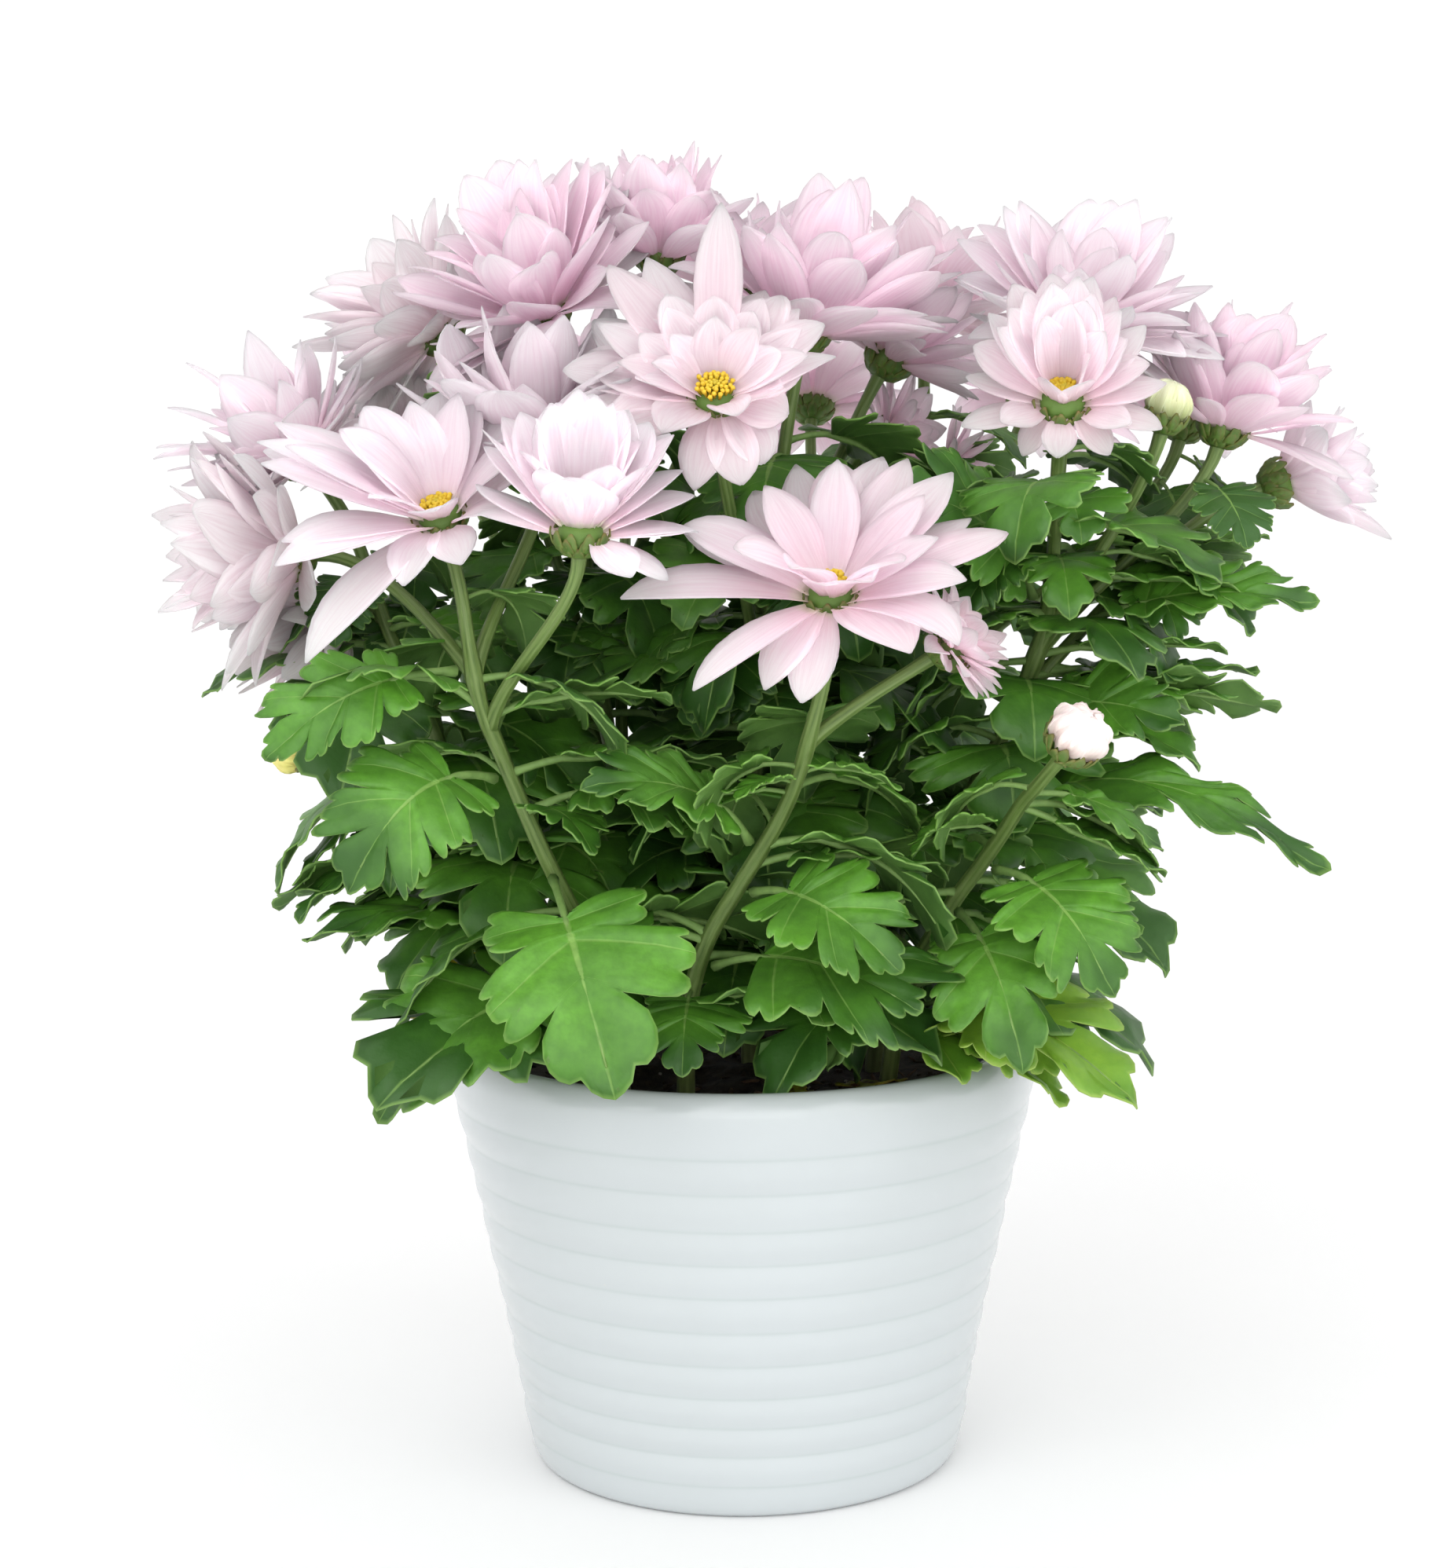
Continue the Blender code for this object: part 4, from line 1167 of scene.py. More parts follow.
# The heads that stand in front have an uneven habit of their own, so all their rays are in fans. disc is the
# disc's radius.
Plan = namedtuple("Plan", "finish disc fans")
PLANS = {
    "flower_front_low": Plan("blush", 2.6, [
        Fan(8, 110, 204, (6, 24, 16), (37, 41, 38), 11.5),
        Fan(3, -134, -92, (6, 24, 12), (37, 34, 41), 12.5, 16),
        Fan(3, -50, -10, (-6, -20, -20), (39, 27, 25), 9.5, 28),
        Fan(3, 24, 76, (2, 4, 20), (29, 34, 26), 14.5, 28),
        Fan(5, -64, 58, (38, 44, 36), (26, 14, 22), 10.5, 45),
        Fan(4, 92, 210, (34, 32, 42), (25, 31, 28), 11),
    ]),
    "flower_centre": Plan("warm", 3.2, [
        Fan(8, 133, 239, (14, 4, -6), (26, 33, 35), 11.5, 6),
        Fan(3, 162, 196, (6, 22, 10), (34, 45, 38), 10.5, 6),
        Fan(3, -150, -105, (15, 20, 12), (38, 27, 30), 12),
        Fan(3, -84, -42, (6, 2, 10), (28, 23, 15), 11.5, 40),
        Fan(4, -14, 60, (-16, -16, 8), (20, 18, 14), 10, 46),
        Fan(4, 76, 120, (28, 20, 14), (14, 17, 19), 10, 4),
        Fan(2, -88, 22, (30, 27, 24), (16, 13, 11), 8.5, 50),
        Fan(9, 95, 265, (18, 18, 18), (25, 25, 25), 9.5, 12),
        Fan(7, 95, 265, (29, 29, 29), (20, 20, 20), 9.5, 12),
        Fan(5, 95, 265, (42, 42, 42), (15, 15, 15), 9, 12),
    ]),
    "flower_right_front": Plan("warm", 2.2, [
        Fan(8, 98, 254, (28, 48, 34), (18, 28, 20), 9.5, 4),
        Fan(8, 112, 246, (50, 60, 48), (18, 26, 20), 9.5, 4),
        Fan(7, 114, 228, (66, 70, 70), (17, 21, 17), 9, 4),
        Fan(3, -102, -60, (12, -4, 8), (18, 19, 13), 8, 5),
        Fan(3, 56, 84, (6, 8, 18), (13, 18, 19), 8, 5),
        Fan(3, -52, 40, (-50, -36, -30), (12, 10, 12), 7, 12),
        Fan(3, -34, 82, (70, 64, 76), (10, 11, 12), 8, 4),
    ]),
    "flower_right_outer": Plan("pale", 2.2, [
        Fan(10, -142, 182, (80, 80, 76), (20, 21, 22), 9.5, 4),
        Fan(11, -130, 170, (58, 62, 60), (22, 20, 21), 9.5, 4),
        Fan(7, -112, 96, (34, 40, 46), (19, 15, 19), 9.5, 5),
        Fan(2, 60, 74, (50, 52, 54), (26, 26, 26), 6, 10),
    ]),
    "flower_left_front": Plan("pale", 2.6, [
        Fan(6, -128, -82, (34, 36, 46), (34, 44, 34), 13.5, 4),
        Fan(6, 110, 212, (24, 34, 28), (27, 33, 30), 14),
        Fan(4, 150, 250, (52, 54, 58), (24, 25, 28), 12),
        Fan(3, -66, -42, (22, 10, -6), (34, 37, 42), 14, 16),
        Fan(4, -26, 84, (-8, 2, 26), (20, 17, 24), 11, 40),
        Fan(3, -110, 0, (58, 48, 40), (28, 18, 12), 10, 40),
    ]),
    "flower_front_left": Plan("pale", 2.4, [
        Fan(8, 98, 260, (74, 80, 76), (24, 29, 25), 13.5, 4),
        Fan(7, 114, 244, (50, 58, 44), (27, 30, 28), 13.5, 5),
        Fan(4, 108, 136, (4, 26, 36), (22, 27, 28), 12, 6),
        Fan(4, -134, -108, (40, 26, 10), (30, 28, 21), 12, 5),
        Fan(8, -96, 102, (54, 56, 56), (19, 15, 20), 12),
        Fan(3, 44, 104, (-24, -14, 2), (14, 17, 23), 11),
    ]),
}


def add_core(shape, bearer, profile, wide, tall, place, tint):
    """A body turned round a bearer's axis through (radius, height) pairs, scaled by wide and tall."""
    ring = circle(RECEPTACLE_SIDES, bearer.side, bearer.other)
    rings = [bearer.base + bearer.axis * high * tall + ring * out * wide for out, high in profile]
    shape.tube(np.array(rings), place, tint)


def make_involucre(bearer, random, scale=1.0, bract_scale=1.0):
    """The receptacle, with three overlapping whorls of green bracts under a head or round a bud."""
    shape = Shape()
    add_core(shape, bearer, RECEPTACLE, scale, scale, (0.0, 0.2, 0.0), 0.0)
    for row, (radius, height, low, high, length) in enumerate(BRACT_WHORLS):
        for i in range(BRACTS_IN_WHORL):
            azimuth = 360.0 * i / BRACTS_IN_WHORL + 12.0 * row + random.uniform(-5, 5)
            form = Form(
                length * bract_scale * random.uniform(0.9, 1.1), BRACT_WIDTH * bract_scale,
                low + random.uniform(-5, 5), high + random.uniform(-8, 8), 8, 0, random.uniform(-8, 8),
                -0.25, 0.0, 0.25,
            )
            at = (radius * bract_scale, height * bract_scale)
            blade(shape, bearer, at, azimuth, form, BRACT, 0.0, random.uniform(0, 1))
    return shape


def make_disc(bearer, radius, random):
    """Tightly packed tubular florets, as buds in the middle and open towards the rim."""
    shape = Shape()
    for i in range(DISC_FLORETS):
        share = math.sqrt((i + 0.5) / DISC_FLORETS)
        azimuth = math.radians(i * GOLDEN_ANGLE)
        out = bearer.side * math.cos(azimuth) + bearer.other * math.sin(azimuth)
        along = unit(bearer.axis + out * 0.55 * share**2 + random.normal(0, 0.06, 3))
        foot = bearer.base + bearer.axis * (DISC_TOP - DISC_CROWN * share**2) + out * radius * share
        side = across_to(out, along)
        ring = circle(FLORET_SIDES, side, np.cross(along, side))
        tall = (1.9 + 1.1 * smoothstep(0.2, 0.9, share)) * random.uniform(0.85, 1.15)
        flare = 0.50 + 0.16 * share
        rings = [(0.36, 0.0), (0.40, 0.6), (flare, 0.88), (flare * 0.55, 1.0)]
        points = np.array([foot + along * tall * high + ring * wide for wide, high in rings])
        places = np.zeros_like(points)
        places[..., 1] = np.array([high for _, high in rings])[:, None]
        places[..., 2] = share
        shape.tube(points, places, random.uniform(0, 1))
    return shape


def petal(shape, bearer, at, azimuth, form, tint, random):
    """A blade with a pointed or, less often, a blunt outline."""
    kind = PETAL if random.uniform() < POINTED_SHARE else BLUNT_PETAL
    blade(shape, bearer, at, azimuth, form, kind, random.uniform(0, 90), tint)


def add_fans(shape, bearer, fans, random):
    """Rays laid out fan by fan, the steeper ones springing from nearer the middle."""
    for fan in fans:
        for along in np.linspace(0.0, 1.0, fan.count):
            elevation = np.interp(along, FAN_SHARES, fan.elevations) + random.normal(0, 3)
            share = smoothstep(0, 60, elevation)
            form = Form(
                np.interp(along, FAN_SHARES, fan.lengths) * random.uniform(0.93, 1.06),
                fan.width * random.uniform(1.0, 1.2), elevation + fan.bend / 2, elevation - fan.bend / 2,
                random.normal(0, 8), random.normal(0, 7), random.normal(0, 10),
                random.uniform(0.05, 0.3), 0.04, 0.24,
            )
            at = (4.6 - 1.8 * share, 4.2 + 2.6 * share)
            azimuth = fan.start + (fan.end - fan.start) * along + random.uniform(-4, 4)
            petal(shape, bearer, at, azimuth, form, random.uniform(0, 0.6), random)


def add_whorls(shape, bearer, look, random):
    """Whorls of rays, as wide and high as the CAD head."""
    out, up = bearer.reach - HEART, bearer.height - HEART
    ray = math.hypot(out, up)
    rise = math.degrees(math.atan2(up, out))
    whorls = OPEN_WHORLS if rise < OPEN_RISE else CUP_WHORLS
    first = random.uniform(0, 360)
    for row, (count, length, low, high) in enumerate(whorls):
        share = row / (len(whorls) - 1)
        at = (4.6 - 2.2 * share, 4.4 + 2.6 * share)
        for i in range(count):
            azimuth = first + row * 13.0 + 360.0 * i / count + random.uniform(-13, 13)
            long = ray * length * look.long * random.uniform(0.78, 1.08)
            claw = min(rise + low + random.normal(0, 7), MOST_ELEVATION - 8)
            tip = min(rise + high + random.normal(0, 10), MOST_ELEVATION)
            form = Form(
                long, max(LEAST_WIDTH, long * look.wide) * random.uniform(0.75, 1.08), claw, tip,
                random.normal(0, 17), random.normal(0, 11), random.normal(0, 15), random.uniform(0.05, 0.35),
                look.sag, 0.26,
            )
            petal(shape, bearer, at, azimuth, form, random.uniform(0, 0.6) + 0.4 * share, random)


def make_head(name, number, finishes):
    """One flower head: whorls of rays, the disc in the middle, and the green involucre below."""
    bearer = BEARERS[name]
    random = np.random.default_rng(number)
    petals = Shape()
    disc_radius = DISC_RADIUS
    if name in PLANS:
        finish, disc_radius, fans = PLANS[name]
    else:
        look = LOOKS.get(name, Look())
        finish, fans = look.finish, look.fans
        add_whorls(petals, bearer, look, random)
    add_fans(petals, bearer, fans, random)
    add_piece(name + "_petals", petals, [finishes[finish]], [name])
    disc = make_disc(bearer, disc_radius, random)
    add_piece(name + "_disc", disc, [finishes["disc"]])
    involucre = make_involucre(bearer, random)
    add_piece(name + "_involucre", involucre, [finishes["bract"]])


def make_bud(name, number, finishes):
    """A closed bud: rays folded over each other in a cup of bracts."""
    bearer = BEARERS[name]
    random = np.random.default_rng(number)
    radius = bearer.reach
    length = ((node_points(name) - bearer.base) @ bearer.axis).max()
    petals = Shape()
    add_core(petals, bearer, BUD_CORE, radius, length, (0.0, 0.7, 0.0), 0.4)
    for row, (count, out, high, over) in enumerate(BUD_WHORLS):
        at = (radius * out, length * high)
        for i in range(count):
            azimuth = 360.0 * i / count + 21.0 * row + random.uniform(-8, 8)
            form = Form(
                length * 0.74, radius * 1.15, 62 + random.uniform(-6, 6), over + random.uniform(-8, 8), 12,
                random.normal(0, 14), random.normal(0, 10), -0.3, 0.0, 0.12,
            )
            blade(petals, bearer, at, azimuth, form, PETAL, random.uniform(0, 90), 0.5)
    add_piece(name + "_petals", petals, [finishes[name]], [name])
    scale = radius / HEART
    calyx = make_involucre(bearer, random, scale, scale * 1.08)
    add_piece(name + "_calyx", calyx, [finishes["bract"]])


# ------------------------------
# Leaves
# ------------------------------

PETIOLE_END = 0.28
PETIOLE_RADIUS = 0.95
BLADE_THICKNESS = 0.4

# One side of a blade as notches and lobes in turn: where each leaves the midrib, its angle from the midrib
# and its length, over the blade's length. The last one is half of the end lobe.
LOBES = [
    (0.0, 122, 0.08), (0.02, 92, 0.44), (0.10, 74, 0.24), (0.15, 56, 0.62), (0.40, 50, 0.23), (0.50, 0, 0.50),
]
LONG_LOBES = [
    (0.0, 115, 0.08), (0.02, 88, 0.36), (0.10, 74, 0.23), (0.13, 60, 0.54),
    (0.32, 54, 0.30), (0.36, 42, 0.50), (0.58, 42, 0.17), (0.64, 0, 0.36),
]
BROAD_LOBES = [
    (0.0, 60, 0.08), (0.10, 42, 0.50), (0.32, 34, 0.40), (0.40, 27, 0.58), (0.62, 24, 0.28), (0.66, 0, 0.34),
]
SCALLOP = 0.13
FINE_GRID = (9, (0, 0.22, 0.45, 0.7, 0.88, 1.0))  # rows on each side of a lobe, and columns by their reach
COARSE_GRID = (6, (0, 0.35, 0.7, 1.0))
VEIN_WIDTH = 0.22  # of a lobe
VEIN_DEPTH = 0.020  # this and the next two are over the leaf's length
PUFF = 0.012
EDGE_WAVE = 0.022
PETIOLE_RINGS = 16
PETIOLE_SIDES = 7

# A leaf's midrib is a Bezier curve of three points. across is the direction of its width.
Leaf = namedtuple("Leaf", "start control tip across width seed tint fine lobes", defaults=(False, LOBES))


def blade_plan(random, table, steps, reaches):
    """A lobed blade with scalloped edges, laid flat: x and y over its length, phase in the lobe and reach
    from the midrib, for rows from the petiole to the tip and columns from the left edge to the right."""
    grids = []
    for sign in (1, -1):
        rows = []
        for k in range(1, len(table), 2):
            origin, middle, long = table[k]
            last = k == len(table) - 1
            if not last:
                long *= random.uniform(0.84, 1.12)
                middle += random.uniform(-6, 6)
            phases = np.arange(-steps, 1 if last else steps) / steps
            for phase in phases:
                notch = table[k - 1] if phase < 0 or last else table[k + 1]
                near = abs(phase)
                length = notch[2] + (long - notch[2]) * (1 - near**3.4) ** 0.62
                length *= 1 - SCALLOP * (1 - abs(math.cos(1.5 * math.pi * phase)) ** 0.6)
                angle = math.radians(middle + (notch[1] - middle) * near)
                root = origin + (notch[0] - origin) * near
                rows.append((root, length * math.cos(angle), sign * length * math.sin(angle), phase))
        root, ahead, aside, phase = np.array(rows).T[..., None]
        reach = np.array(reaches)[None, :]
        parts = np.broadcast_arrays(root + ahead * reach, aside * reach, phase, reach)
        grids.append(np.stack(parts, axis=-1))
    return np.concatenate([grids[0][:, ::-1], grids[1][:, 1:]], axis=1)


def bezier(start, control, tip, share):
    share = np.asarray(share)[..., None]
    return start * (1 - share) ** 2 + control * 2 * share * (1 - share) + tip * share**2


def make_leaf(shape, leaf):
    """Adds a lobed blade with sunken veins, and its petiole. The underside has the second material."""
    random = np.random.default_rng(leaf.seed)
    plan = blade_plan(random, leaf.lobes, *(FINE_GRID if leaf.fine else COARSE_GRID))
    x, y, phase, reach = np.moveaxis(plan, -1, 0)
    share = PETIOLE_END + (1 - PETIOLE_END) * x
    middle = bezier(leaf.start, leaf.control, leaf.tip, share)
    along = units(bezier(leaf.start, leaf.control, leaf.tip, share + 0.01) - middle)
    across = units(leaf.across - along * (along @ leaf.across)[..., None])
    normal = np.cross(along, across)
    out = y * leaf.width / 2 / np.abs(y).max()
    size = np.linalg.norm(leaf.tip - leaf.start)
    fold, droop = random.uniform(0.05, 0.30), random.uniform(0.002, 0.012)
    lift = fold * np.abs(out) - droop * out**2
    valley = np.exp(-((phase / VEIN_WIDTH) ** 2)) * reach * (1.15 - reach)
    lift -= size * VEIN_DEPTH * valley
    lift += size * PUFF * np.sin(math.pi * reach) * (1 - np.exp(-((phase / 0.4) ** 2)))
    wave = random.uniform(0, 6.3)
    lift += size * EDGE_WAVE * reach**3 * np.sin(x * 21 + wave + np.sign(y) * 1.3)
    roll = np.radians(random.normal(0, 14)) * (0.4 + x)
    spread = across * np.cos(roll)[..., None] + normal * np.sin(roll)[..., None]
    points = middle + spread * out[..., None] + normal * lift[..., None]
    places = np.stack([phase, reach, x], axis=-1)
    shape.sheet(points, places, leaf.tint, BLADE_THICKNESS, back=1, seam=True)
    add_petiole(shape, leaf, size)


def add_petiole(shape, leaf, size):
    """The petiole, which runs on under the blade as its midrib."""
    shares = np.linspace(0.0, PETIOLE_END + (1 - PETIOLE_END) * 0.85, PETIOLE_RINGS)
    down = np.cross(leaf.across, unit(leaf.tip - leaf.start))
    below = smoothstep(PETIOLE_END * 0.8, PETIOLE_END * 1.3, shares)
    taper = 1 - 0.75 * smoothstep(PETIOLE_END * 0.7, 1.0, shares)
    radii = PETIOLE_RADIUS * min(1.0, size / 45) * taper * (1 + 0.5 * np.exp(-shares / 0.03))
    line = bezier(leaf.start, leaf.control, leaf.tip, shares)
    line = line + down * (below * (radii * 0.75 + BLADE_THICKNESS))[:, None]
    rings = []
    for i, point in enumerate(line):
        along = heading(line, i)
        side = across_to(leaf.across, along)
        rings.append(point + circle(PETIOLE_SIDES, side, np.cross(along, side)) * radii[i])
    shape.tube(np.array(rings), (0.0, 0.0, 0.0), 0.0, slot=1)


def read_leaf(name, seed, look):
    """The leaf whose CAD node this is: its ends, the bend of its midrib, its plane and its width."""
    points = node_points(name)
    gaps = np.array([STEM_TREE.find(point)[2] for point in points])
    start = points[gaps.argsort()[:4]].mean(axis=0)
    tip = points[np.linalg.norm(points - start, axis=1).argmax()]
    chord = tip - start
    share = np.clip((points - start) @ chord / (chord @ chord), 0.0, 1.0)
    weight = 2 * share * (1 - share)
    ends = np.outer((1 - share) ** 2, start) + np.outer(share**2, tip)
    control = ((points - ends) * weight[:, None]).sum(axis=0) / (weight**2).sum()
    rest = points - bezier(start, control, tip, share)
    _, _, axes = np.linalg.svd(rest - rest.mean(axis=0))
    across = across_to(axes[0], unit(chord))
    bulge = control - (start + tip) / 2
    if np.dot(np.cross(unit(chord), across), bulge) < 0:
        across = -across
    width = 2 * np.abs(rest @ across).max()
    tip, width = start + (tip - start) * look.long, width * look.wide
    return Leaf(start, control, tip, across, width, seed, look.tint, True, look.lobes)


# Leaves on a shoot, from the lowest up, each turned by the golden angle from the one before. A shoot has
# its own spacing, and one that stands in front keeps its own front clear above FRONT_LOW. Lengths are those
# of the lowest and the highest leaf.
LEAF_SPACINGS = {
    "stem_left_front": 7.0, "stem_left": 4.6, "stem_centre_front": 7.0, "stem_right": 4.6,
    "stem_right_low": 8.0, "stem_centre": 3.6, "stem_back_left": 4.0, "stem_back_right": 4.0,
}
OPEN_SHOOTS = {"stem_left_front", "stem_centre_front", "stem_right_low"}
FRONT_LOW = 130.0
LEAF_FIRST = 106.0
LEAF_LAST = 0.9
LEAF_LENGTHS = (74.0, 44.0)
KEEP_OFF = 17.0  # from the heart of a head
LOWEST_TIP = 104.0
FRONT_TURN = 0.35  # cosine of the angle from the front within which an open shoot bears no leaf
BOX_MARGIN = 2.0
DARKEST_FINE = 0.82  # an outer leaf darker than this stands in the shade, and is drawn coarsely


def grown_leaf(start, angle, rise, fall, length, width, seed, tint, fine=False, lobes=LOBES):
    """A leaf that leaves its stem at a compass angle, rising, and arches over."""
    first = compass(angle, rise)
    last = compass(angle, fall)
    control = start + first * length * 0.5
    tip = control + last * length * 0.55
    across = unit(np.cross(unit(tip - start), UP))
    return Leaf(start, control, tip, -across, width, seed, tint, fine, lobes)


def is_clear(leaf, shoot):
    """True for a leaf that keeps off the heads, the soil, the box's sides and an open shoot's front."""
    if np.linalg.norm(HEARTS - leaf.tip, axis=1).min() < KEEP_OFF or leaf.tip[2] < LOWEST_TIP:
        return False
    towards = unit((leaf.tip - leaf.start) * (1, 1, 0))
    if shoot in OPEN_SHOOTS and leaf.start[2] > FRONT_LOW and towards @ FRONT > FRONT_TURN:
        return False
    low, high = np.array(cad_box) / MM
    return bool((leaf.tip > low - BOX_MARGIN).all() and (leaf.tip < high + BOX_MARGIN).all())


def make_shoot_leaves(name, number, line, finishes):
    """The many inner leaves along a shoot, joined as one piece."""
    random = np.random.default_rng(100 + number)
    shape = Shape()
    heights = line[:, 2]
    top = LEAF_FIRST + (heights.max() - LEAF_FIRST) * LEAF_LAST
    lengths = np.concatenate([[0.0], np.cumsum(np.linalg.norm(np.diff(line, axis=0), axis=1))])
    angle = random.uniform(0, 360)
    at = lengths[np.argmax(heights > LEAF_FIRST)]
    while True:
        start = np.array([np.interp(at, lengths, line[:, k]) for k in range(3)])
        if start[2] > top or at > lengths[-1]:
            break
        share = (start[2] - LEAF_FIRST) / (top - LEAF_FIRST)
        length = (LEAF_LENGTHS[0] + (LEAF_LENGTHS[1] - LEAF_LENGTHS[0]) * share) * random.uniform(0.8, 1.15)
        # lower leaves get darker tints, for their age and as painted shade inside the foliage
        tint = np.clip(0.85 - 0.35 * share + random.normal(0, 0.15), 0, 1)
        leaf = grown_leaf(
            start, angle + random.uniform(-15, 15), random.uniform(0, 45), random.uniform(-88, -35), length,
            length * random.uniform(0.62, 0.82), int(random.integers(1e6)), tint,
        )
        if is_clear(leaf, name):
            make_leaf(shape, leaf)
        angle += GOLDEN_ANGLE
        at += LEAF_SPACINGS[name] * random.uniform(0.8, 1.2)
    add_piece(name + "_foliage", shape, [finishes["leaf"], finishes["leaf_under"]])


def add_leaf_piece(name, leaf, finishes, kind, replaces=()):
    """One leaf as a piece, kind being its upper side's material."""
    shape = Shape()
    make_leaf(shape, leaf)
    add_piece(name, shape, [finishes[kind], finishes["leaf_under"]], replaces)


def make_leaves(lines, finishes):
    """The leaves that the CAD model names, the smaller outer ones, and the inner foliage."""
    for number, name in enumerate(nodes_called("leaf_")):
        look = LEAF_LOOKS.get(name, LeafLook())
        leaf = read_leaf(name, 40 + number, look)
        add_leaf_piece(name + "_blade", leaf, finishes, look.kind, [name])
    branches = {}
    for number, (name, (line, side_lines)) in enumerate(lines.items()):
        branches[name] = line
        branches.update(zip((bearer for _, bearer in SHOOTS[name].branches), side_lines))
        make_shoot_leaves(name, number, line, finishes)
    for number, row in enumerate(OUTER_LEAVES):
        outer = OuterLeaf(*row)
        line = even_points(branches[outer.branch], 1.0)
        leaf = grown_leaf(
            line[round(outer.share * (len(line) - 1))], *outer[2:7], 300 + number, outer.tint,
            outer.tint < DARKEST_FINE, (LONG_LOBES, LOBES)[number % 2],
        )
        add_leaf_piece(f"outer_leaf_{number + 1:02d}_blade", leaf, finishes, outer.kind)


# What a CAD leaf doesn't give: its tint, darker for its age and as painted shade, lobes, width and length
# over the CAD leaf's, and material
LeafLook = namedtuple("LeafLook", "tint lobes wide long kind", defaults=(0.4, LONG_LOBES, 1.0, 1.0, "leaf"))
LEAF_LOOKS = {
    "leaf_front": LeafLook(0.22, LOBES, 1.05),
    "leaf_front_right": LeafLook(0.30, LONG_LOBES, 0.95, 0.95),
    "leaf_front_broad": LeafLook(0.45, BROAD_LOBES, 1.05),
    "leaf_right_hanging": LeafLook(0.25),
    "leaf_right_low": LeafLook(0.25, LOBES, 1.1, 0.9),
    "leaf_left_hanging": LeafLook(0.35, LOBES),
    "leaf_left_upper": LeafLook(0.25),
    "leaf_back_low": LeafLook(0.8, LOBES),
    "leaf_right_yellow": LeafLook(0.1, LOBES, 1.3, 1.0, "leaf_fresh"),
}
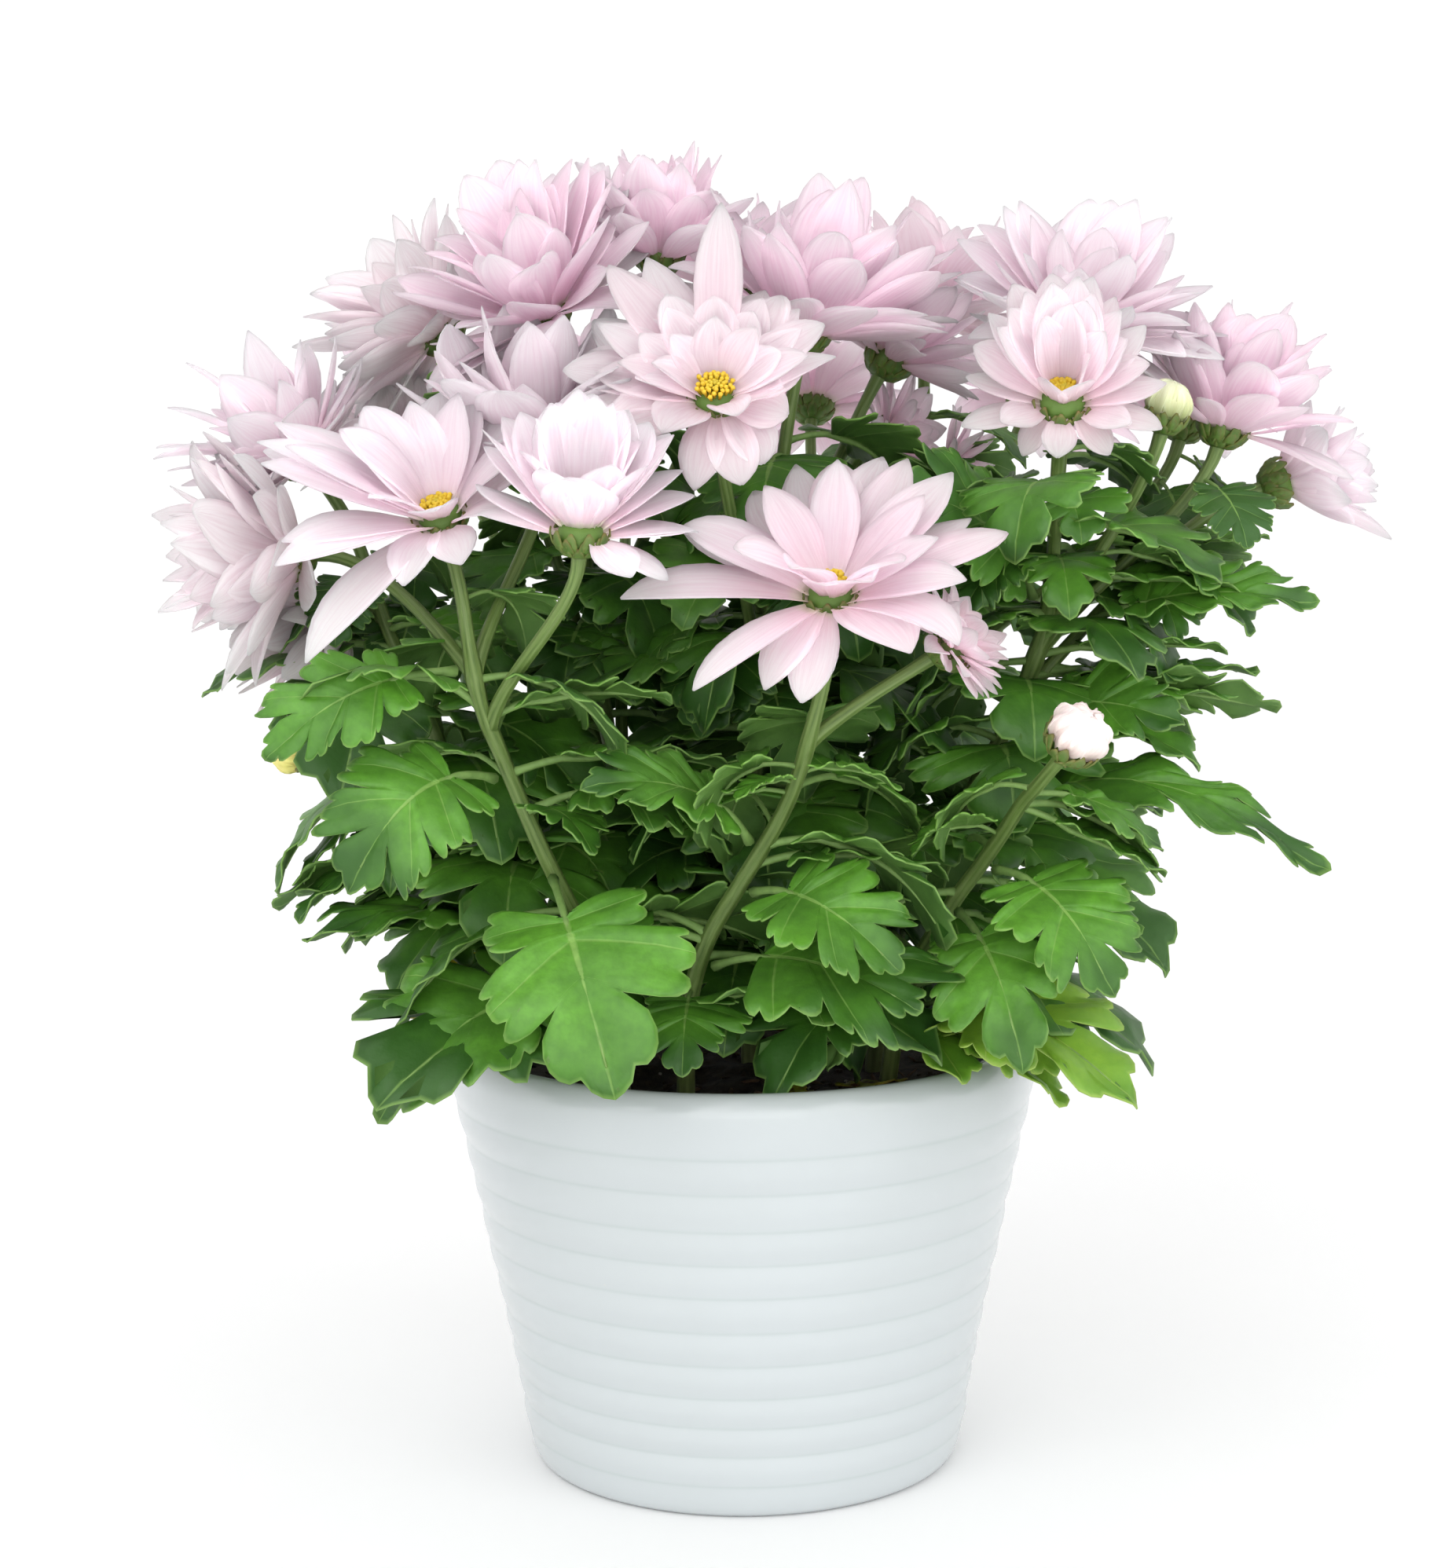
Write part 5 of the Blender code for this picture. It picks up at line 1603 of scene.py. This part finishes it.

# The smaller leaves that stand out of the foliage. A leaf's branch is named by its shoot or its bearer, and
# share is how far along it the leaf grows. Then come its compass angle, how it leaves and ends (elevations),
# its length, width, tint (darker for its age and as painted shade deep in the foliage) and material.
OuterLeaf = namedtuple("OuterLeaf", "branch share angle rise fall length width tint kind", defaults=("leaf",))
OUTER_LEAVES = [
    ("flower_right_outer", 0.62, 0, 20, 0, 27, 11, 0.35),
    ("flower_right_outer", 0.38, -5, 25, 0, 38, 20, 0.6), ("stem_right", 0.76, 0, 12, -20, 58, 21, 0.5),
    ("flower_right_outer", 0.12, -10, 10, -10, 38, 22, 0.8), ("stem_right", 0.66, -5, 15, -10, 45, 20, 0.4),
    ("stem_right", 0.6, 0, 22, -8, 58, 16, 0.45), ("stem_right", 0.44, -10, 20, -20, 50, 28, 0.75),
    ("stem_right", 0.3, -20, 10, -30, 62, 28, 0.25), ("stem_right_low", 0.72, -155, 35, -45, 30, 22, 0.15),
    ("stem_right", 0.88, -70, 20, -80, 24, 24, 0.35), ("bud_green", 0.5, 10, 10, -45, 32, 28, 0.8),
    ("flower_right_crown", 0.45, 170, 15, -5, 44, 28, 0.9),
    ("stem_right", 0.8, -145, 15, -60, 38, 30, 0.85),
    ("stem_right_low", 0.48, 165, 25, -30, 30, 22, 0.2, "leaf_under"),
    ("stem_right_low", 0.3, -130, 10, -50, 36, 20, 0.1, "leaf_under"),
    ("stem_right_low", 0.26, -70, 10, -30, 40, 30, 0.3, "leaf_fresh"),
    ("stem_centre_front", 0.3, -95, 10, -65, 36, 32, 0.6),
    ("flower_right_side", 0.55, -20, -10, -60, 36, 30, 0.8),
    ("flower_right_outer", 0.5, -60, 10, -70, 30, 26, 0.7),
    ("flower_right_side", 0.6, 60, 0, -70, 44, 32, 0.9),
    ("flower_right_outer", 0.6, 60, 10, -60, 40, 30, 0.8), ("bud_green", 0.6, 40, 0, -70, 40, 32, 0.95),
    ("stem_right", 0.9, 150, 20, -60, 40, 30, 0.95), ("stem_left_front", 0.75, -8, 30, -15, 45, 22, 0.35),
    ("stem_left_front", 0.66, 10, 20, -20, 54, 26, 0.6),
    ("stem_left_front", 0.6, -50, 25, -50, 32, 24, 0.55),
    ("stem_centre_front", 0.7, 178, 15, -25, 27, 17, 0.15),
    ("stem_centre_front", 0.74, -20, 25, -35, 27, 19, 0.1),
    ("stem_centre_front", 0.72, -140, 25, -35, 20, 14, 0.1),
    ("stem_left", 0.34, -155, 10, -15, 48, 28, 0.7), ("stem_left", 0.42, -165, 5, -15, 52, 30, 0.6),
    ("stem_left", 0.55, -170, 5, -60, 50, 28, 0.45),
    ("stem_left", 0.24, -165, 5, -30, 44, 28, 0.3, "leaf_yellow"),
    ("stem_left_front", 0.38, 10, 20, -35, 56, 40, 0.7),
    ("stem_centre_front", 0.4, 175, 20, -20, 52, 38, 0.75),
    ("stem_centre_front", 0.55, 0, 20, -25, 48, 34, 0.6), ("stem_left", 0.48, -172, 2, -38, 56, 34, 0.5),
    ("stem_left", 0.39, -150, 5, -30, 40, 28, 0.6), ("flower_right_outer", 0.05, -5, 4, -6, 54, 16, 0.35),
    ("stem_right", 0.57, -25, 15, -35, 52, 34, 0.35), ("stem_right_low", 0.6, -10, 0, -30, 42, 24, 0.3),
    ("stem_right_low", 0.85, 0, 5, -50, 36, 24, 0.45),
    ("stem_right_low", 0.28, -12, 20, -50, 58, 42, 0.1, "leaf_fresh"),
    ("flower_right_crown", 0.6, 40, 10, -50, 36, 30, 0.9),
    ("flower_right_inner", 0.8, 20, 0, -60, 32, 26, 0.85), ("stem_right", 0.95, 30, 20, -50, 32, 28, 0.95),
    ("stem_centre", 0.6, -80, 10, -60, 36, 34, 0.95), ("stem_centre", 0.64, -125, 10, -60, 40, 34, 0.95),
    ("flower_back_mid", 0.35, -90, 0, -60, 36, 34, 1.0), ("stem_left", 0.84, -150, 0, -60, 32, 26, 0.85),
    ("flower_left_inner", 0.5, -100, 0, -60, 36, 32, 0.9),
    ("flower_left_inner", 0.55, 170, 0, -60, 34, 28, 0.9),
    ("flower_back_left", 0.5, -90, 0, -60, 36, 34, 1.0), ("stem_left", 0.58, -170, 5, -70, 62, 44, 0.5),
    ("flower_back_mid", 0.42, -90, -10, -70, 32, 32, 1.0),
    ("stem_centre", 0.66, -150, -10, -60, 32, 34, 1.0), ("stem_left", 0.52, -160, -15, -45, 50, 30, 0.65),
    ("stem_left", 0.4, -145, -12, -55, 46, 42, 0.6),
    ("flower_right_side", 0.88, -60, -10, -70, 26, 26, 0.8),
    ("flower_right_inner", 0.97, -10, -20, -80, 26, 24, 0.85),
    ("flower_right_inner", 0.9, -80, -10, -60, 26, 26, 0.9),
    ("stem_right", 0.45, -30, -20, -50, 66, 38, 0.6), ("stem_right_low", 0.8, 0, -20, -30, 36, 24, 0.5),
    ("stem_right_low", 0.26, -28, 5, -45, 50, 34, 0.1, "leaf_fresh"),
    ("stem_left", 0.86, -110, -10, -70, 28, 26, 0.9), ("flower_centre", 0.2, -130, -20, -70, 30, 30, 1.0),
    ("flower_back_left", 0.66, -100, 0, -60, 30, 30, 1.0),
    ("flower_left_inner", 0.68, -90, 0, -60, 28, 28, 0.95),
    ("flower_left_crown", 0.4, -60, 0, -60, 30, 30, 1.0),
    ("flower_right_outer", 0.15, -8, -8, -12, 54, 20, 0.5),
]


# ------------------------------
# Stage, lights and camera
# ------------------------------

STAGE_SIDES = 96
STAGE_FLAT = 1.3  # radius of the flat floor, and of the curve that it rises by, in metres


def make_stage():
    """A pale floor that rises smoothly into a wall on all sides."""
    profile = [(0.01, 0.0), (0.6, 0.0), (STAGE_FLAT, 0.0)]
    for a in np.radians(np.arange(6, 91, 6)):
        profile.append((STAGE_FLAT + STAGE_FLAT * math.sin(a), STAGE_FLAT - STAGE_FLAT * math.cos(a)))
    profile.append((2 * STAGE_FLAT, 2.2))
    rings = turned_rings(profile, STAGE_SIDES)
    index = np.arange(len(profile) * STAGE_SIDES).reshape(len(profile), STAGE_SIDES)
    faces = [face[::-1] for face in quads(np.concatenate([index, index[:, :1]], axis=1))]
    mesh = bpy.data.meshes.new("floor")
    mesh.from_pydata(rings.reshape(-1, 3).tolist(), [], faces)
    mesh.shade_smooth()
    tree = Tree("floor_paper", 0.9)
    grain = tree.noise(tree.object_coordinates(), 6.0, detail=2.0)
    tree.colour(tree.ramp(grain, [(0.3, (0.95, 0.95, 0.95)), (0.7, (0.96, 0.96, 0.96))]))
    mesh.materials.append(tree.material)
    link_object("floor", mesh)


# (place and size in metres, power in watts) of the soft lights, which all face AIM
LIGHTS = [
    ((-0.9, -1.5, 1.5), 1.4, 9.5),
    ((1.3, -1.2, 0.9), 1.3, 6.2),
    ((0.2, 0.7, 1.9), 1.6, 1.5),
    ((0.0, -1.8, 0.35), 1.6, 11.5),
]
AIM = (0.0, 0.0, 0.16)
WORLD_STRENGTH = 0.95


def make_lights():
    world = bpy.data.worlds.new("studio")
    world.use_nodes = True
    sky = world.node_tree.nodes["Background"]
    sky.inputs["Color"].default_value = (1.0, 1.0, 1.0, 1.0)
    sky.inputs["Strength"].default_value = WORLD_STRENGTH
    bpy.context.scene.world = world
    bpy.context.scene.view_settings.view_transform = "Standard"
    for number, (place, size, power) in enumerate(LIGHTS):
        lamp = bpy.data.lights.new(f"soft_{number}", "AREA")
        lamp.size = size
        lamp.energy = power
        lamp_object = link_object(lamp.name, lamp)
        lamp_object.location = place
        aim = Vector(AIM) - Vector(place)
        lamp_object.rotation_euler = aim.to_track_quat("-Z", "Y").to_euler()
        lamp_object.visible_camera = False


CAMERA_PLACE = (-0.0036, -0.798, 0.284)  # metres
CAMERA_DOWN = 7.9
CAMERA_ROLL = -0.53
CAMERA_VIEW = 27.63  # vertical field of view


def make_camera():
    lens = bpy.data.cameras.new("camera")
    lens.sensor_fit = "VERTICAL"
    lens.angle = math.radians(CAMERA_VIEW)
    camera = link_object("camera", lens)
    camera.location = CAMERA_PLACE
    tilt = Matrix.Rotation(math.radians(90 - CAMERA_DOWN), 3, "X")
    roll = Matrix.Rotation(math.radians(CAMERA_ROLL), 3, "Z")
    camera.rotation_euler = (tilt @ roll).to_euler()
    bpy.context.scene.camera = camera


# Colours of the petals by kind: base, belly, middle and tip, and the shade of the streaks
PETAL_COLOURS = {
    "pink": [
        (0.66, 0.68, 0.43), (0.68, 0.48, 0.57), (0.66, 0.54, 0.60), (0.61, 0.57, 0.59), (0.96, 0.88, 0.93),
    ],
    "blush": [
        (0.64, 0.65, 0.40), (0.65, 0.47, 0.53), (0.63, 0.53, 0.58), (0.60, 0.56, 0.58), (0.96, 0.89, 0.92),
    ],
    "pale": [
        (0.67, 0.70, 0.47), (0.68, 0.53, 0.59), (0.64, 0.58, 0.61), (0.60, 0.58, 0.60), (0.96, 0.90, 0.93),
    ],
    "warm": [
        (0.60, 0.62, 0.36), (0.59, 0.44, 0.48), (0.57, 0.49, 0.52), (0.55, 0.53, 0.54), (0.95, 0.88, 0.91),
    ],
    "dusky": [
        (0.60, 0.63, 0.43), (0.65, 0.53, 0.56), (0.63, 0.59, 0.60), (0.60, 0.59, 0.60), (0.93, 0.87, 0.89),
    ],
}
BUD_COLOURS = {
    "bud_green": [
        (0.17, 0.27, 0.05), (0.30, 0.37, 0.10), (0.58, 0.60, 0.36), (0.78, 0.78, 0.68), (0.92, 0.90, 0.82),
    ],
    "bud_pink": [
        (0.46, 0.46, 0.25), (0.62, 0.53, 0.46), (0.67, 0.61, 0.58), (0.76, 0.71, 0.70), (0.94, 0.86, 0.88),
    ],
    "bud_yellow": [
        (0.36, 0.40, 0.10), (0.52, 0.52, 0.14), (0.66, 0.62, 0.22), (0.74, 0.68, 0.34), (0.90, 0.86, 0.70),
    ],
}
# Leaf colours where young, where old and in painted shade, and on the veins, how deep the veins are sunk, and
# the roughness
LEAF_FINISHES = {
    "leaf": ("leaf_upper", (0.13, 0.37, 0.030), (0.026, 0.10, 0.008), (0.28, 0.48, 0.11), 0.8, 0.5),
    "leaf_under": ("leaf_under", (0.15, 0.30, 0.06), (0.055, 0.14, 0.02), (0.24, 0.38, 0.11), -0.8, 0.6),
    "leaf_fresh": ("leaf_fresh", (0.24, 0.45, 0.035), (0.11, 0.28, 0.02), (0.42, 0.56, 0.12), 0.8, 0.5),
}


def make_finishes():
    """The materials that several pieces share, by the names that the tables use."""
    finishes = {kind: petal_material(f"petals_{kind}", *colours) for kind, colours in PETAL_COLOURS.items()}
    finishes["disc"] = disc_material()
    finishes["bract"] = bract_material()
    for bud, colours in BUD_COLOURS.items():
        finishes[bud] = petal_material(f"{bud}_petals", *colours)
    for kind, values in LEAF_FINISHES.items():
        finishes[kind] = leaf_material(*values)
    finishes["leaf_yellow"] = yellow_leaf_material()
    return finishes


BEARERS = {name: read_bearer(name) for name in nodes_called("flower_") + nodes_called("bud_")}
HEART_HEIGHT = 10.0
HEARTS = np.array([b.base + b.axis * HEART_HEIGHT for b in BEARERS.values()])


def main():
    finishes = make_finishes()
    make_camera()
    make_lights()
    make_stage()
    make_cachepot()
    make_nursery_pot()
    make_soil(finishes)
    lines = make_stems(BEARERS)
    for number, name in enumerate(BEARERS):
        if name.startswith("bud"):
            make_bud(name, number, finishes)
        else:
            make_head(name, number, finishes)
    make_leaves(lines, finishes)
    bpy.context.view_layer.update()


main()
